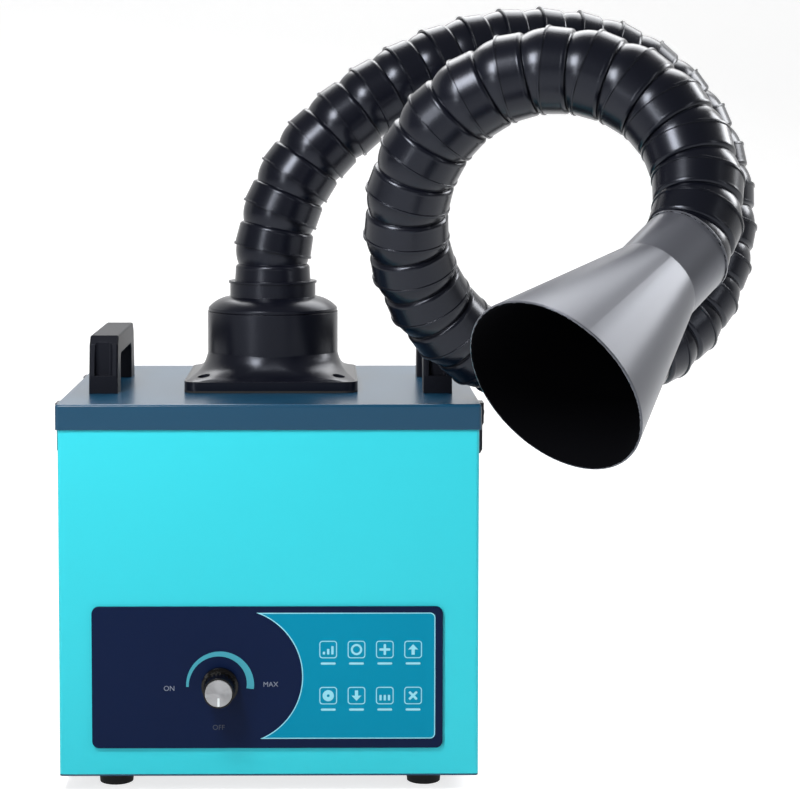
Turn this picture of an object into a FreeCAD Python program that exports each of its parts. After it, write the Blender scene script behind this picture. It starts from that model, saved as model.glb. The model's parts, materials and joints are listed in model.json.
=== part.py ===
import FreeCAD, Part
import math
import os
import Sketcher

# A bench-top welding fume extractor: a sheet-steel case with a filter stack and a blower,
# a lift-off lid, and a self-supporting arm of ball-and-socket segments with a suction horn.
# Millimetres. X to the right, Y to the back, Z up. The origin is on the floor, under the
# middle of the case.

# Driving dimensions
SIZES = {
    # Sheet-metal case
    "case_width": 297.0,
    "case_depth": 257.0,
    "wrap_height": 260.6,
    "sheet": 1.2,
    "sheet_gap": 0.3,
    "bend_radius": 2.5,
    "rear_flange": 14.0,
    "rim_flange": 10.0,
    "pan_flange": 14.0,
    "case_screw_rise": 30.0,
    # Rubber feet
    "foot_height": 12.0,
    "foot_radius": 13.0,
    "foot_taper": 1.0,
    "foot_inset_x": 37.5,
    "foot_inset_y": 30.0,
    "foot_recess_radius": 5.5,
    "foot_recess_depth": 6.0,
    # Screws and nuts
    "screw_radius": 2.0,
    "screw_gap": 0.2,
    "head_radius": 4.0,
    "head_height": 2.4,
    "screw_length": 8.0,
    "nut_radius": 4.0,
    "nut_height": 3.2,
    # Lid, its gasket and spring clips
    "lid_skirt": 18.0,
    "lid_edge_radius": 2.0,
    "lid_hole_radius": 38.0,
    "gasket_thick": 2.0,
    "clip_width": 16.0,
    "clip_thick": 3.2,
    "clip_boss": 4.2,
    "clip_drop": 22.0,
    "clip_top_gap": 3.5,
    "clip_bead": 3.0,
    "clip_inset": 44.0,
    "rivet_radius": 1.8,
    "rivet_height": 0.6,
    "rivet_space": 8.0,
    # Handles
    "handle_inset": 26.0,
    "handle_length": 132.0,
    "handle_height": 42.0,
    "handle_width": 21.0,
    "handle_leg": 24.0,
    "handle_lean": 4.0,
    "grip_thick": 15.0,
    "handle_corner": 6.0,
    "handle_finger_radius": 6.0,
    "handle_edge_radius": 1.5,
    "handle_ledge": 13.0,
    "trough_width": 13.0,
    "trough_depth": 5.5,
    "trough_top_gap": 3.5,
    "trough_radius": 3.0,
    # Arm flange and swivel dome
    "flange_gasket_thick": 1.5,
    "flange_side": 128.0,
    "flange_corner": 10.0,
    "flange_plate": 6.7,
    "flare_height": 18.3,
    "flange_radius": 49.5,
    "flange_height": 54.5,
    "flange_bore": 45.0,
    "flange_lip": 5.0,
    "flange_lip_radius": 40.0,
    "flange_screw_offset": 50.0,
    "flange_screw_bore": 4.6,
    "swivel_gap": 0.3,
    "dome_radius": 49.0,
    "dome_edge": 2.2,
    "dome_height": 11.0,
    "collar_radius": 32.5,
    "collar_top": 23.0,
    "collar_lip": 1.0,
    "collar_lip_height": 1.6,
    "stub_radius": 28.8,
    "stub_shoulder_radius": 28.2,
    "stub_rise": 46.0,
    "spigot_length": 12.0,
    "spigot_wall": 3.0,
    "ring_height": 4.0,
    "ring_groove": 1.2,
    "ring_reach": 3.0,
    "ring_split": 6.0,
    # Arm segments
    "pitch": 28.0,
    "ball_radius": 28.0,
    "ball_gap": 0.3,
    "segment_wall": 2.0,
    "lip_radius": 30.0,
    "lip_height": 1.6,
    "lip_reach": 0.6,
    "cup_radius": 29.3,
    "shoulder_radius": 28.5,
    "shoulder_at": 14.0,
    "neck_reach": 10.3,
    "rim_reach": 9.4,
    "socket_reach": 18.3,
    "web_reach": 8.5,
    # Suction horn
    "horn_neck": 38.0,
    "horn_length": 150.0,
    "horn_mouth_radius": 60.0,
    "horn_wall": 2.0,
    "horn_throat_at": 19.5,
    "horn_rim_radius": 0.8,
    # Control panel and knob
    "panel_width": 248.0,
    "panel_height": 101.0,
    "panel_thick": 2.0,
    "panel_corner": 5.0,
    "panel_rise": 83.0,
    "panel_shift": -1.0,
    "knob_x": -34.4,
    "knob_rise": 77.7,
    "knob_skirt_radius": 13.0,
    "knob_skirt_height": 3.6,
    "knob_radius": 11.2,
    "knob_top_radius": 10.6,
    "knob_height": 21.7,
    "knob_gap": 0.8,
    "knob_hollow_radius": 7.5,
    "knob_hollow_depth": 3.2,
    "flute_radius": 0.9,
    "cap_radius": 9.5,
    "cap_height": 1.4,
    "cap_sink": 0.6,
    "shaft_radius": 3.0,
    "shaft_gap": 0.06,
    "shaft_reach": 14.0,
    "pot_radius": 8.5,
    "pot_depth": 10.0,
    "bushing_radius": 4.5,
    "bushing_reach": 3.2,
    "pot_nut_radius": 6.4,
    "pot_nut_height": 2.0,
    # Speed board
    "board_width": 92.0,
    "board_height": 62.0,
    "board_thick": 1.6,
    "standoff_length": 16.0,
    "standoff_radius": 3.0,
    "standoff_inset": 6.0,
    "terminal_width": 34.0,
    "terminal_depth": 12.0,
    "terminal_height": 14.0,
    "sink_width": 12.0,
    "sink_depth": 20.0,
    "sink_height": 34.0,
    "cap_can_radius": 6.0,
    "cap_can_height": 14.0,
    # Partition and filters
    "chamber_share": 0.518,
    "ledge_width": 14.0,
    "filter_gap": 1.5,
    "seal_thick": 3.0,
    "seal_width": 10.0,
    "frame_wall": 3.0,
    "carbon_height": 24.0,
    "headroom": 19.4,
    "pleat_pitch": 9.0,
    "pleat_thick": 1.2,
    "coarse_height": 12.0,
    "coarse_wall": 8.0,
    "mat_height": 9.0,
    # Blower
    "blower_shift": 12.0,
    "scroll_wall": 2.0,
    "scroll_height": 52.0,
    "scroll_radius": 70.0,
    "scroll_step": 8.0,
    "duct_width": 62.0,
    "inlet_radius": 45.0,
    "wheel_radius": 60.0,
    "wheel_height": 38.0,
    "wheel_plate": 2.0,
    "wheel_eye": 42.0,
    "wheel_gap": 5.0,
    "blade_length": 18.0,
    "blade_thick": 1.4,
    "hub_radius": 9.0,
    "hub_height": 14.0,
    "motor_radius": 34.0,
    "motor_height": 50.0,
    "motor_edge": 4.0,
    "motor_bolt_circle": 25.0,
    "motor_shaft_depth": 40.0,
    "motor_box": 12.0,
    # Back of the case
    "grille_margin": 10.0,
    "grille_thick": 3.0,
    "grille_lip": 1.0,
    "slot_height": 3.4,
    "slot_pitch": 7.0,
    "inlet_inset": 53.5,
    "inlet_rise": 62.0,
    "inlet_flange_width": 50.0,
    "inlet_flange_height": 44.0,
    "inlet_flange_thick": 3.0,
    "inlet_body_width": 28.0,
    "inlet_body_height": 34.0,
    "inlet_body_depth": 22.0,
    "inlet_screw_space": 40.0,
    "socket_width": 24.0,
    "socket_height": 16.5,
    "socket_depth": 17.0,
    "socket_lift": 6.5,
    "pin_width": 4.0,
    "pin_thick": 2.0,
    "pin_length": 14.0,
    "pin_space": 7.0,
    "drawer_width": 22.0,
    "drawer_height": 8.0,
    "drawer_depth": 18.0,
    "drawer_drop": 9.5,
    "drawer_lip": 1.5,
    # Inner leads
    "lead_radius": 2.5,
    "lead_bend": 12.0,
    "lead_swing": 30.0,
    # Overrun of every cut past the face that it opens
    "overrun": 2.0,
}

FLUTES = 28
BLADES = 28
GRILLE_SLOTS = 6

# How far apart two places may lie and still be one, and how wide an upright edge may be
SAME_PLACE = 1e-4
NO_WIDTH = 1e-6

# How the arm is bent: for each stretch, the number of segments, the turn of each in the plane
# of the front and its lean towards the front, in degrees. The arm starts straight up.
ARM_STRETCHES = [
    ("rise", 4, 11.5, -0.5),
    ("shoulder", 4, 6.0, -2.5),
    ("crown", 4, 8.0, 1.5),
    ("fall", 4, 13.0, 3.5),
    ("side", 4, 12.0, 3.0),
    ("heel", 4, 14.0, 3.0),
    ("sole", 4, 9.0, -2.5),
    ("return", 4, 13.0, 0.5),
    ("front", 5, 15.0, -2.0),
    ("top", 4, 16.5, 1.5),
    ("drop", 4, 20.0, 4.0),
]
HORN_TURN = 24.0
HORN_LEAN = 1.5

# The last segment of each length of arm that moves as one piece
LAST_SEGMENTS = [8, 16, 24, 32, 40, 45]

doc = FreeCAD.newDocument("fume_extractor")
sheet = doc.addObject("Spreadsheet::Sheet", "dims")
for row, (alias, number) in enumerate(SIZES.items(), 1):
    sheet.set(f"A{row}", str(number))
    sheet.setAlias(f"A{row}", alias)
doc.recompute()


class Size:
    """A length from the sheet, or a sum of such lengths, with the formula that binds it."""

    def __init__(self, value, formula):
        self.value = value
        self.formula = formula

    def __float__(self):
        return self.value

    def __add__(self, other):
        other = as_size(other)
        return Size(self.value + other.value, f"({self.formula} + {other.formula})")

    def __sub__(self, other):
        other = as_size(other)
        return Size(self.value - other.value, f"({self.formula} - {other.formula})")

    def __mul__(self, other):
        other = as_size(other)
        return Size(self.value * other.value, f"({self.formula} * {other.formula})")

    def __truediv__(self, other):
        other = as_size(other)
        return Size(self.value / other.value, f"({self.formula} / {other.formula})")

    def __neg__(self):
        return Size(-self.value, f"(-{self.formula})")

    def __rmul__(self, other):
        return as_size(other) * self


def as_size(item):
    """A plain number as a size with itself for a formula."""
    return item if isinstance(item, Size) else Size(float(item), repr(float(item)))


class Sheet:
    """Every cell of the sheet by its alias."""


S = Sheet()
for alias in SIZES:
    setattr(S, alias, Size(float(sheet.get(alias)), f"dims.{alias}"))

# Levels and half sizes that several pieces share
HALF_WIDTH = S.case_width / 2
HALF_DEPTH = S.case_depth / 2
HANDLE_X = HALF_WIDTH - S.handle_inset
INLET_X = S.inlet_inset - HALF_WIDTH
FLOOR = S.foot_height + S.sheet
RIM = FLOOR + S.wrap_height
LID_TOP = RIM + S.gasket_thick + S.sheet
LID_WIDTH = S.case_width + 2 * S.sheet + 2 * S.sheet_gap
LID_DEPTH = S.case_depth + 2 * S.sheet + 2 * S.sheet_gap
FLANGE_BASE = LID_TOP + S.flange_gasket_thick
FLANGE_TOP = FLANGE_BASE + S.flange_height
PARTITION = FLOOR + S.wrap_height * S.chamber_share
HOLE = S.screw_radius + S.screw_gap
FRONT_FACE = -HALF_DEPTH
BACK_FACE = HALF_DEPTH


# Tools for the document


def bind(item, prop, size):
    """Set a property by the formula of a size."""
    item.setExpression(prop, as_size(size).formula)


def place(item, x=0, y=0, z=0, turn=None):
    """Put a sub-part at a bound position, turned by a rotation."""
    spot = FreeCAD.Vector(float(x), float(y), float(z))
    item.Placement = FreeCAD.Placement(spot, turn or FreeCAD.Rotation())
    for letter, size in (("x", x), ("y", y), ("z", z)):
        if isinstance(size, Size):
            bind(item, f"Placement.Base.{letter}", size)
    return item


ALONG_X = FreeCAD.Rotation(FreeCAD.Vector(0, 1, 0), 90)
TO_FRONT = FreeCAD.Rotation(FreeCAD.Vector(1, 0, 0), 90)
TO_BACK = FreeCAD.Rotation(FreeCAD.Vector(1, 0, 0), -90)
UPSIDE_DOWN = FreeCAD.Rotation(FreeCAD.Vector(1, 0, 0), 180)


def new_body(name):
    body = doc.addObject("PartDesign::Body", name)
    body.Label = name
    return body


def new_sketch(body, role, lift=0):
    """A sketch on one of the body's own planes, lifted along the plane's normal."""
    sketch = body.newObject("Sketcher::SketchObject", f"{body.Name}_sketch")
    plane = next(item for item in body.Origin.OriginFeatures if item.Role == role)
    sketch.AttachmentSupport = [(plane, "")]
    sketch.MapMode = "FlatFace"
    if isinstance(lift, Size):
        bind(sketch, "AttachmentOffset.Base.z", lift)
    return sketch


def pin(sketch, kind, edge, size):
    """Hold one end of an edge at a bound distance from the sketch's origin."""
    index = sketch.addConstraint(Sketcher.Constraint(kind, -1, 1, edge, 1, float(size)))
    if isinstance(size, Size):
        bind(sketch, f"Constraints[{index}]", size)


def draw_loop(sketch, corners):
    """A closed loop of straight lines whose corners are all bound."""
    first = sketch.GeometryCount
    count = len(corners)
    ends = [FreeCAD.Vector(float(x), float(y), 0) for x, y in corners]
    for i in range(count):
        sketch.addGeometry(Part.LineSegment(ends[i], ends[(i + 1) % count]), False)
    for i in range(count):
        after = first + (i + 1) % count
        sketch.addConstraint(Sketcher.Constraint("Coincident", first + i, 2, after, 1))
    for i, (x, y) in enumerate(corners):
        pin(sketch, "DistanceX", first + i, x)
        pin(sketch, "DistanceY", first + i, y)


def box_corners(width, depth, x=0, y=0):
    x, y = as_size(x), as_size(y)
    half_w, half_d = as_size(width) / 2, as_size(depth) / 2
    signs = [(-1, -1), (1, -1), (1, 1), (-1, 1)]
    return [(x + sx * half_w, y + sy * half_d) for sx, sy in signs]


def draw_circle(sketch, radius, x=0, y=0):
    """A circle with a bound radius and centre."""
    spot = FreeCAD.Vector(float(x), float(y), 0)
    edge = sketch.addGeometry(Part.Circle(spot, FreeCAD.Vector(0, 0, 1), float(radius)), False)
    index = sketch.addConstraint(Sketcher.Constraint("Radius", edge, float(radius)))
    bind(sketch, f"Constraints[{index}]", radius)
    for kind, size in (("DistanceX", x), ("DistanceY", y)):
        index = sketch.addConstraint(Sketcher.Constraint(kind, -1, 1, edge, 3, float(size)))
        if isinstance(size, Size):
            bind(sketch, f"Constraints[{index}]", size)


def pad(body, sketch, length, both_ways=False, back=False):
    feature = body.newObject("PartDesign::Pad", f"{body.Name}_pad")
    feature.Profile = sketch
    bind(feature, "Length", length)
    feature.Midplane = both_ways
    feature.Reversed = back
    doc.recompute()
    return feature


def pocket(body, sketch, depth, along_normal=False):
    """Cut a sketch into the body, against the sketch's normal unless told otherwise."""
    before = body.Shape.Volume
    feature = body.newObject("PartDesign::Pocket", f"{body.Name}_pocket")
    feature.Profile = sketch
    bind(feature, "Length", depth)
    feature.Reversed = along_normal
    doc.recompute()
    if not body.Shape.Volume < before:
        raise ValueError(f"{body.Label}: a pocket cuts nothing")
    return feature


def revolve(body, sketch):
    feature = body.newObject("PartDesign::Revolution", f"{body.Name}_revolution")
    feature.Profile = sketch
    feature.ReferenceAxis = (sketch, ["V_Axis"])
    feature.Angle = 360
    doc.recompute()
    return feature


def ring_pattern(body, feature, count):
    """Repeat a feature evenly about the body's Z axis."""
    pattern = body.newObject("PartDesign::PolarPattern", f"{body.Name}_pattern")
    axis = next(item for item in body.Origin.OriginFeatures if item.Role == "Z_Axis")
    pattern.Originals = [feature]
    pattern.Axis = (axis, [""])
    pattern.Angle = 360
    pattern.Occurrences = count
    body.Tip = pattern
    doc.recompute()


def round_edges(body, radius, test):
    """Fillet the edges of the body that pass a test."""
    base = body.Tip
    names = [f"Edge{i}" for i, edge in enumerate(base.Shape.Edges, 1) if test(edge)]
    if not names:
        raise ValueError(f"{body.Label}: no edge to round")
    feature = body.newObject("PartDesign::Fillet", f"{body.Name}_fillet")
    feature.Base = (base, names)
    bind(feature, "Radius", radius)
    doc.recompute()
    return feature


def close(a, b):
    return abs(float(a) - float(b)) < SAME_PLACE


def is_upright(edge):
    """True for a straight edge along Z."""
    box = edge.BoundBox
    return box.XLength < NO_WIDTH and box.YLength < NO_WIDTH


def runs_at(edge, letter, level):
    """True for an edge that stays at one level of X, Y or Z."""
    box = edge.BoundBox
    low, high = getattr(box, f"{letter}Min"), getattr(box, f"{letter}Max")
    return close(low, level) and close(high, level)


def block(width, depth, height, x=0, y=0, z=0):
    """A box centred on x and y, standing on z."""
    item = doc.addObject("Part::Box", "block")
    for prop, size in (("Length", width), ("Width", depth), ("Height", height)):
        bind(item, prop, size)
    return place(item, as_size(x) - as_size(width) / 2, as_size(y) - as_size(depth) / 2, as_size(z))


def rod(radius, height, x=0, y=0, z=0, turn=None):
    """A cylinder that starts at a point and runs along Z, or along its turned axis."""
    item = doc.addObject("Part::Cylinder", "rod")
    bind(item, "Radius", radius)
    bind(item, "Height", height)
    return place(item, x, y, z, turn)


def hexagon(radius, height, x, y, z, turn=None):
    """A hexagon nut blank."""
    item = doc.addObject("Part::Prism", "hexagon")
    item.Polygon = 6
    bind(item, "Circumradius", radius)
    bind(item, "Height", height)
    return place(item, x, y, z, turn)


def join(items, name="joined"):
    item = doc.addObject("Part::MultiFuse", name)
    item.Shapes = items
    return item


def cut(base, tools, name="cut"):
    item = doc.addObject("Part::Cut", name)
    item.Base = base
    item.Tool = tools[0] if len(tools) == 1 else join(tools)
    return item


def group(items, name):
    """Several separate solids under one name."""
    item = doc.addObject("Part::Compound", name)
    item.Links = items
    return item


def made(name, shape):
    """A sub-part whose shape is worked out here from the sheet."""
    item = doc.addObject("Part::Feature", name)
    item.Shape = shape
    return item


NODES = []


def node(item, name):
    """Take an object as a finished sub-part under its own name."""
    item.Label = name
    NODES.append(item)
    return item


def pan_screw(x, y, z, turn, length):
    """A pan-head screw whose head sits at the point and whose shank runs against its axis."""
    shank = rod(S.screw_radius, as_size(length), 0, 0, -as_size(length))
    head = rod(S.head_radius, S.head_height)
    screw = join([shank, head], "screw")
    return place(screw, x, y, z, turn)


def corner_signs():
    return [(-1, -1), (1, -1), (1, 1), (-1, 1)]


# Bottom pan: a flat floor with a raised edge inside the wrap
FOOT_X = HALF_WIDTH - S.foot_inset_x
FOOT_Y = HALF_DEPTH - S.foot_inset_y


def make_bottom_pan():
    body = new_body("bottom_pan")
    plan = new_sketch(body, "XY_Plane")
    draw_loop(plan, box_corners(S.case_width, S.case_depth))
    pad(body, plan, S.sheet)
    round_edges(body, S.bend_radius, is_upright)
    edge_width = S.case_width - 2 * (S.sheet + S.sheet_gap)
    edge_depth = S.case_depth - 4 * S.sheet - 2 * S.sheet_gap
    edge = new_sketch(body, "XY_Plane", S.sheet)
    draw_loop(edge, box_corners(edge_width, edge_depth))
    draw_loop(edge, box_corners(edge_width - 2 * S.sheet, edge_depth - 2 * S.sheet))
    pad(body, edge, S.pan_flange)
    holes = new_sketch(body, "XY_Plane", S.sheet)
    for sx, sy in corner_signs():
        draw_circle(holes, HOLE, sx * FOOT_X, sy * FOOT_Y)
    pocket(body, holes, S.sheet + S.overrun)
    node(place(body, 0, 0, S.foot_height), "bottom_pan")


# Screws that hold the back panel to the wrap's rear flanges
BACK_SCREW_X = HALF_WIDTH - S.sheet - S.rear_flange / 2
BACK_SCREW_RISES = [S.case_screw_rise, S.wrap_height / 2, S.wrap_height - S.case_screw_rise]


def draw_back_screw_holes(sketch):
    for sx in (-1, 1):
        for rise in BACK_SCREW_RISES:
            draw_circle(sketch, HOLE, sx * BACK_SCREW_X, rise)


# Wrap: the front and the two sides in one folded sheet, with flanges at the rear and the rim
def make_case_wrap():
    body = new_body("case_wrap")
    side_in = HALF_WIDTH - S.sheet
    flange_in = side_in - S.rear_flange
    flange_back = HALF_DEPTH - S.sheet
    flange_front = HALF_DEPTH - 2 * S.sheet
    front_in = S.sheet - HALF_DEPTH
    right = [
        (HALF_WIDTH, -HALF_DEPTH),
        (HALF_WIDTH, HALF_DEPTH),
        (side_in, HALF_DEPTH),
        (side_in, flange_back),
        (flange_in, flange_back),
        (flange_in, flange_front),
        (side_in, flange_front),
        (side_in, front_in),
    ]
    left = [(-x, y) for x, y in reversed(right)]
    plan = new_sketch(body, "XY_Plane")
    draw_loop(plan, right + left)
    pad(body, plan, S.wrap_height)

    def outer_corner(edge):
        box = edge.BoundBox
        return is_upright(edge) and close(box.YMin, -HALF_DEPTH) and close(abs(box.XMin), HALF_WIDTH)

    def inner_corner(edge):
        box = edge.BoundBox
        return is_upright(edge) and close(box.YMin, front_in)

    round_edges(body, S.bend_radius, outer_corner)
    round_edges(body, S.bend_radius - S.sheet, inner_corner)
    rim_in = side_in - S.rim_flange
    rim_front = front_in + S.rim_flange
    rim = new_sketch(body, "XY_Plane", S.wrap_height)
    draw_loop(
        rim,
        [
            (-side_in, front_in),
            (side_in, front_in),
            (side_in, flange_front),
            (rim_in, flange_front),
            (rim_in, rim_front),
            (-rim_in, rim_front),
            (-rim_in, flange_front),
            (-side_in, flange_front),
        ],
    )
    pad(body, rim, S.sheet, back=True)
    shaft_hole = new_sketch(body, "XZ_Plane", HALF_DEPTH)
    draw_circle(shaft_hole, S.bushing_radius + S.screw_gap, S.knob_x, S.knob_rise - FLOOR)
    pocket(body, shaft_hole, S.sheet + S.overrun)
    screw_holes = new_sketch(body, "XZ_Plane", -flange_front)
    draw_back_screw_holes(screw_holes)
    pocket(body, screw_holes, S.sheet + S.overrun)
    node(place(body, 0, 0, FLOOR), "case_wrap")


# Exhaust duct of the blower, which the back panel opens to
DUCT_RIGHT = S.scroll_radius + 3 * S.scroll_step
DUCT_X = DUCT_RIGHT - S.duct_width / 2
DUCT_Z = PARTITION - S.scroll_height / 2
BACK_INSIDE = BACK_FACE - S.sheet
BACK_WIDTH = S.case_width - 2 * S.sheet - 2 * S.sheet_gap

def make_back_panel():
    body = new_body("back_panel")
    plan = new_sketch(body, "XZ_Plane")
    draw_loop(plan, box_corners(BACK_WIDTH, S.wrap_height, 0, S.wrap_height / 2))
    pad(body, plan, S.sheet)
    holes = new_sketch(body, "XZ_Plane", S.sheet)
    opening_width = S.duct_width - 2 * S.scroll_wall
    opening_height = S.scroll_height - 2 * S.scroll_wall
    draw_loop(holes, box_corners(opening_width, opening_height, DUCT_X, DUCT_Z - FLOOR))
    socket_width = S.inlet_body_width + 2 * S.sheet_gap
    socket_height = S.inlet_body_height + 2 * S.sheet_gap
    draw_loop(holes, box_corners(socket_width, socket_height, INLET_X, S.inlet_rise - FLOOR))
    for sx in (-1, 1):
        draw_circle(holes, HOLE, INLET_X + sx * S.inlet_screw_space / 2, S.inlet_rise - FLOOR)
    draw_back_screw_holes(holes)
    pocket(body, holes, S.sheet + S.overrun)
    node(place(body, 0, BACK_FACE, FLOOR), "back_panel")


def make_case_screws():
    screws = []
    for sx in (-1, 1):
        for rise in BACK_SCREW_RISES:
            screws.append(pan_screw(sx * BACK_SCREW_X, BACK_FACE, FLOOR + rise, TO_BACK, S.screw_length))
    node(group(screws, "case_screws"), "case_screws")


# Feet, with the screws and nuts that hold them
def make_feet():
    feet, screws, nuts = [], [], []
    shank = S.foot_height - S.foot_recess_depth + S.sheet + S.nut_height + S.screw_radius
    for sx, sy in corner_signs():
        x, y = sx * FOOT_X, sy * FOOT_Y
        cone = doc.addObject("Part::Cone", "foot")
        bind(cone, "Radius1", S.foot_radius - S.foot_taper)
        bind(cone, "Radius2", S.foot_radius)
        bind(cone, "Height", S.foot_height)
        place(cone, x, y, 0)
        recess = rod(S.foot_recess_radius, S.foot_recess_depth, x, y, 0)
        bore = rod(HOLE, S.foot_height, x, y, 0)
        feet.append(cut(cone, [recess, bore], "foot_bored"))
        screws.append(pan_screw(x, y, S.foot_recess_depth, UPSIDE_DOWN, shank))
        nut = hexagon(S.nut_radius, S.nut_height, x, y, FLOOR)
        nuts.append(cut(nut, [rod(HOLE, S.nut_height, x, y, FLOOR)], "nut"))
    node(group(feet, "feet"), "feet")
    node(group(screws, "foot_screws"), "foot_screws")
    node(group(nuts, "foot_nuts"), "foot_nuts")


# Lid: a folded tray turned upside down, with its gasket
def make_lid_shell():
    body = new_body("lid_shell")
    plan = new_sketch(body, "XY_Plane")
    draw_loop(plan, box_corners(LID_WIDTH, LID_DEPTH))
    pad(body, plan, S.lid_skirt)
    round_edges(body, S.bend_radius, is_upright)
    round_edges(body, S.lid_edge_radius, lambda edge: runs_at(edge, "Z", S.lid_skirt))
    inside = new_sketch(body, "XY_Plane")
    draw_loop(inside, box_corners(LID_WIDTH - 2 * S.sheet, LID_DEPTH - 2 * S.sheet))
    pocket(body, inside, S.lid_skirt - S.sheet, along_normal=True)
    holes = new_sketch(body, "XY_Plane", S.lid_skirt)
    draw_circle(holes, S.lid_hole_radius)
    for sx, sy in corner_signs():
        draw_circle(holes, HOLE, sx * HANDLE_X, sy * HANDLE_SCREW_Y)
        draw_circle(holes, HOLE, sx * S.flange_screw_offset, sy * S.flange_screw_offset)
    pocket(body, holes, S.sheet + S.overrun)
    node(place(body, 0, 0, LID_TOP - S.lid_skirt), "lid_shell")


HANDLE_SCREW_Y = S.handle_length / 2 - S.handle_leg / 2


def make_lid_gasket():
    body = new_body("lid_gasket")
    plan = new_sketch(body, "XY_Plane")
    outer_width = LID_WIDTH - 2 * S.sheet - 2 * S.sheet_gap
    outer_depth = LID_DEPTH - 2 * S.sheet - 2 * S.sheet_gap
    draw_loop(plan, box_corners(outer_width, outer_depth))
    draw_loop(plan, box_corners(outer_width - 2 * S.rim_flange, outer_depth - 2 * S.rim_flange))
    pad(body, plan, S.gasket_thick)
    node(place(body, 0, 0, RIM), "lid_gasket")


# Spring clips: strips riveted to the skirt, whose beads bear on the case
def make_lid_clips():
    clips, rivets = [], []
    top = S.lid_skirt - S.clip_top_gap
    # The bead stops one sheet gap short of the case
    bead_out = -S.sheet
    for sx, sy in corner_signs():
        body = new_body("clip")
        side = new_sketch(body, "XZ_Plane")
        outline = [
            (as_size(0), top),
            (S.clip_boss, top),
            (S.clip_boss, as_size(0)),
            (S.clip_thick, -S.clip_thick / 2),
            (S.clip_thick, S.clip_bead - S.clip_drop),
            (S.clip_thick / 2, -S.clip_drop),
            (bead_out / 2, -S.clip_drop),
            (bead_out, S.clip_bead / 2 - S.clip_drop),
            (bead_out, S.clip_bead - S.clip_drop),
            (as_size(0), 2 * S.clip_bead - S.clip_drop),
        ]
        draw_loop(side, outline)
        pad(body, side, S.clip_width, both_ways=True)
        y = sy * (LID_DEPTH / 2 - S.clip_inset)
        z = LID_TOP - S.lid_skirt
        turn = FreeCAD.Rotation(FreeCAD.Vector(0, 0, 1), 0 if sx > 0 else 180)
        place(body, sx * LID_WIDTH / 2, y, z, turn)
        clips.append(body)
        side_turn = ALONG_X if sx > 0 else ALONG_X.inverted()
        for step in (-1, 1):
            spot = sx * (LID_WIDTH / 2 + S.clip_boss)
            along = y + step * S.rivet_space / 2
            rivets.append(rod(S.rivet_radius, S.rivet_height, spot, along, z + top / 2, side_turn))
    node(group(clips, "lid_clips"), "lid_clips")
    node(group(rivets, "clip_rivets"), "clip_rivets")


# Handles: moulded bridges with a trough in the outer face of each leg
def make_handle(name, side):
    body = new_body(name)
    half = S.handle_length / 2
    top_half = half - S.handle_lean
    leg_in = half - S.handle_leg
    grip_under = S.handle_height - S.grip_thick
    profile = new_sketch(body, "YZ_Plane")
    right = [
        (leg_in, as_size(0)),
        (half, as_size(0)),
        (half, S.handle_ledge),
        (top_half, S.handle_height - S.handle_corner),
        (top_half - S.handle_corner, S.handle_height),
    ]
    left = [(-y, z) for y, z in reversed(right)]
    inside = [(-leg_in, grip_under), (leg_in, grip_under)]
    draw_loop(profile, right + left + inside)
    pad(body, profile, S.handle_width, both_ways=True)

    def inner_corner(edge):
        box = edge.BoundBox
        return close(box.ZMin, grip_under) and close(box.ZMax, grip_under) and close(box.YLength, 0)

    round_edges(body, S.handle_finger_radius, inner_corner)
    trough = new_sketch(body, "XZ_Plane", half)
    trough_height = S.handle_height - S.trough_top_gap - S.handle_ledge
    draw_loop(trough, box_corners(S.trough_width, trough_height, 0, S.handle_ledge + trough_height / 2))
    front_trough = pocket(body, trough, S.trough_depth)
    mirror = body.newObject("PartDesign::Mirrored", f"{name}_mirror")
    plane = next(item for item in body.Origin.OriginFeatures if item.Role == "XZ_Plane")
    mirror.Originals = [front_trough]
    mirror.MirrorPlane = (plane, [""])
    body.Tip = mirror
    doc.recompute()

    def trough_corner(edge):
        box = edge.BoundBox
        at_back = close(abs(box.YMin), half - S.trough_depth)
        return is_upright(edge) and at_back and close(abs(box.XMin), S.trough_width / 2)

    round_edges(body, S.trough_radius, trough_corner)

    def outer_long_edge(edge):
        box = edge.BoundBox
        on_side = close(abs(box.XMin), S.handle_width / 2) and close(box.XLength, 0)
        ledge = float(S.handle_ledge)
        return on_side and box.ZMax > ledge and box.ZMin > ledge - SAME_PLACE

    round_edges(body, S.handle_edge_radius, outer_long_edge)
    holes = new_sketch(body, "XY_Plane")
    for sy in (-1, 1):
        draw_circle(holes, S.screw_radius + S.shaft_gap, 0, sy * HANDLE_SCREW_Y)
    pocket(body, holes, S.handle_ledge, along_normal=True)
    node(place(body, side * HANDLE_X, 0, LID_TOP), name)


def make_handle_screws():
    screws = []
    for sx, sy in corner_signs():
        spot = (sx * HANDLE_X, sy * HANDLE_SCREW_Y, LID_TOP - S.sheet)
        screws.append(pan_screw(*spot, UPSIDE_DOWN, S.sheet + S.screw_length))
    node(group(screws, "handle_screws"), "handle_screws")


# Arm flange: a square plate that flows into a round pedestal
def rounded_square(half, corner, z):
    """A wire of four lines and four arcs, rounded by the corner radius."""
    flat = half - corner
    edges = []
    for step in range(4):
        turn = FreeCAD.Rotation(FreeCAD.Vector(0, 0, 1), 90 * step)
        middle = FreeCAD.Vector(flat, flat, z)
        reach = []
        for angle in (0, math.pi / 4, math.pi / 2):
            way = FreeCAD.Vector(math.cos(angle), math.sin(angle), 0)
            reach.append(middle + way * corner)
        start = turn.multVec(FreeCAD.Vector(half, -flat, z))
        p0, p1, p2 = [turn.multVec(p) for p in reach]
        edges.append(Part.LineSegment(start, p0).toShape())
        edges.append(Part.Arc(p0, p1, p2).toShape())
    return Part.Wire(edges)


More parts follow.
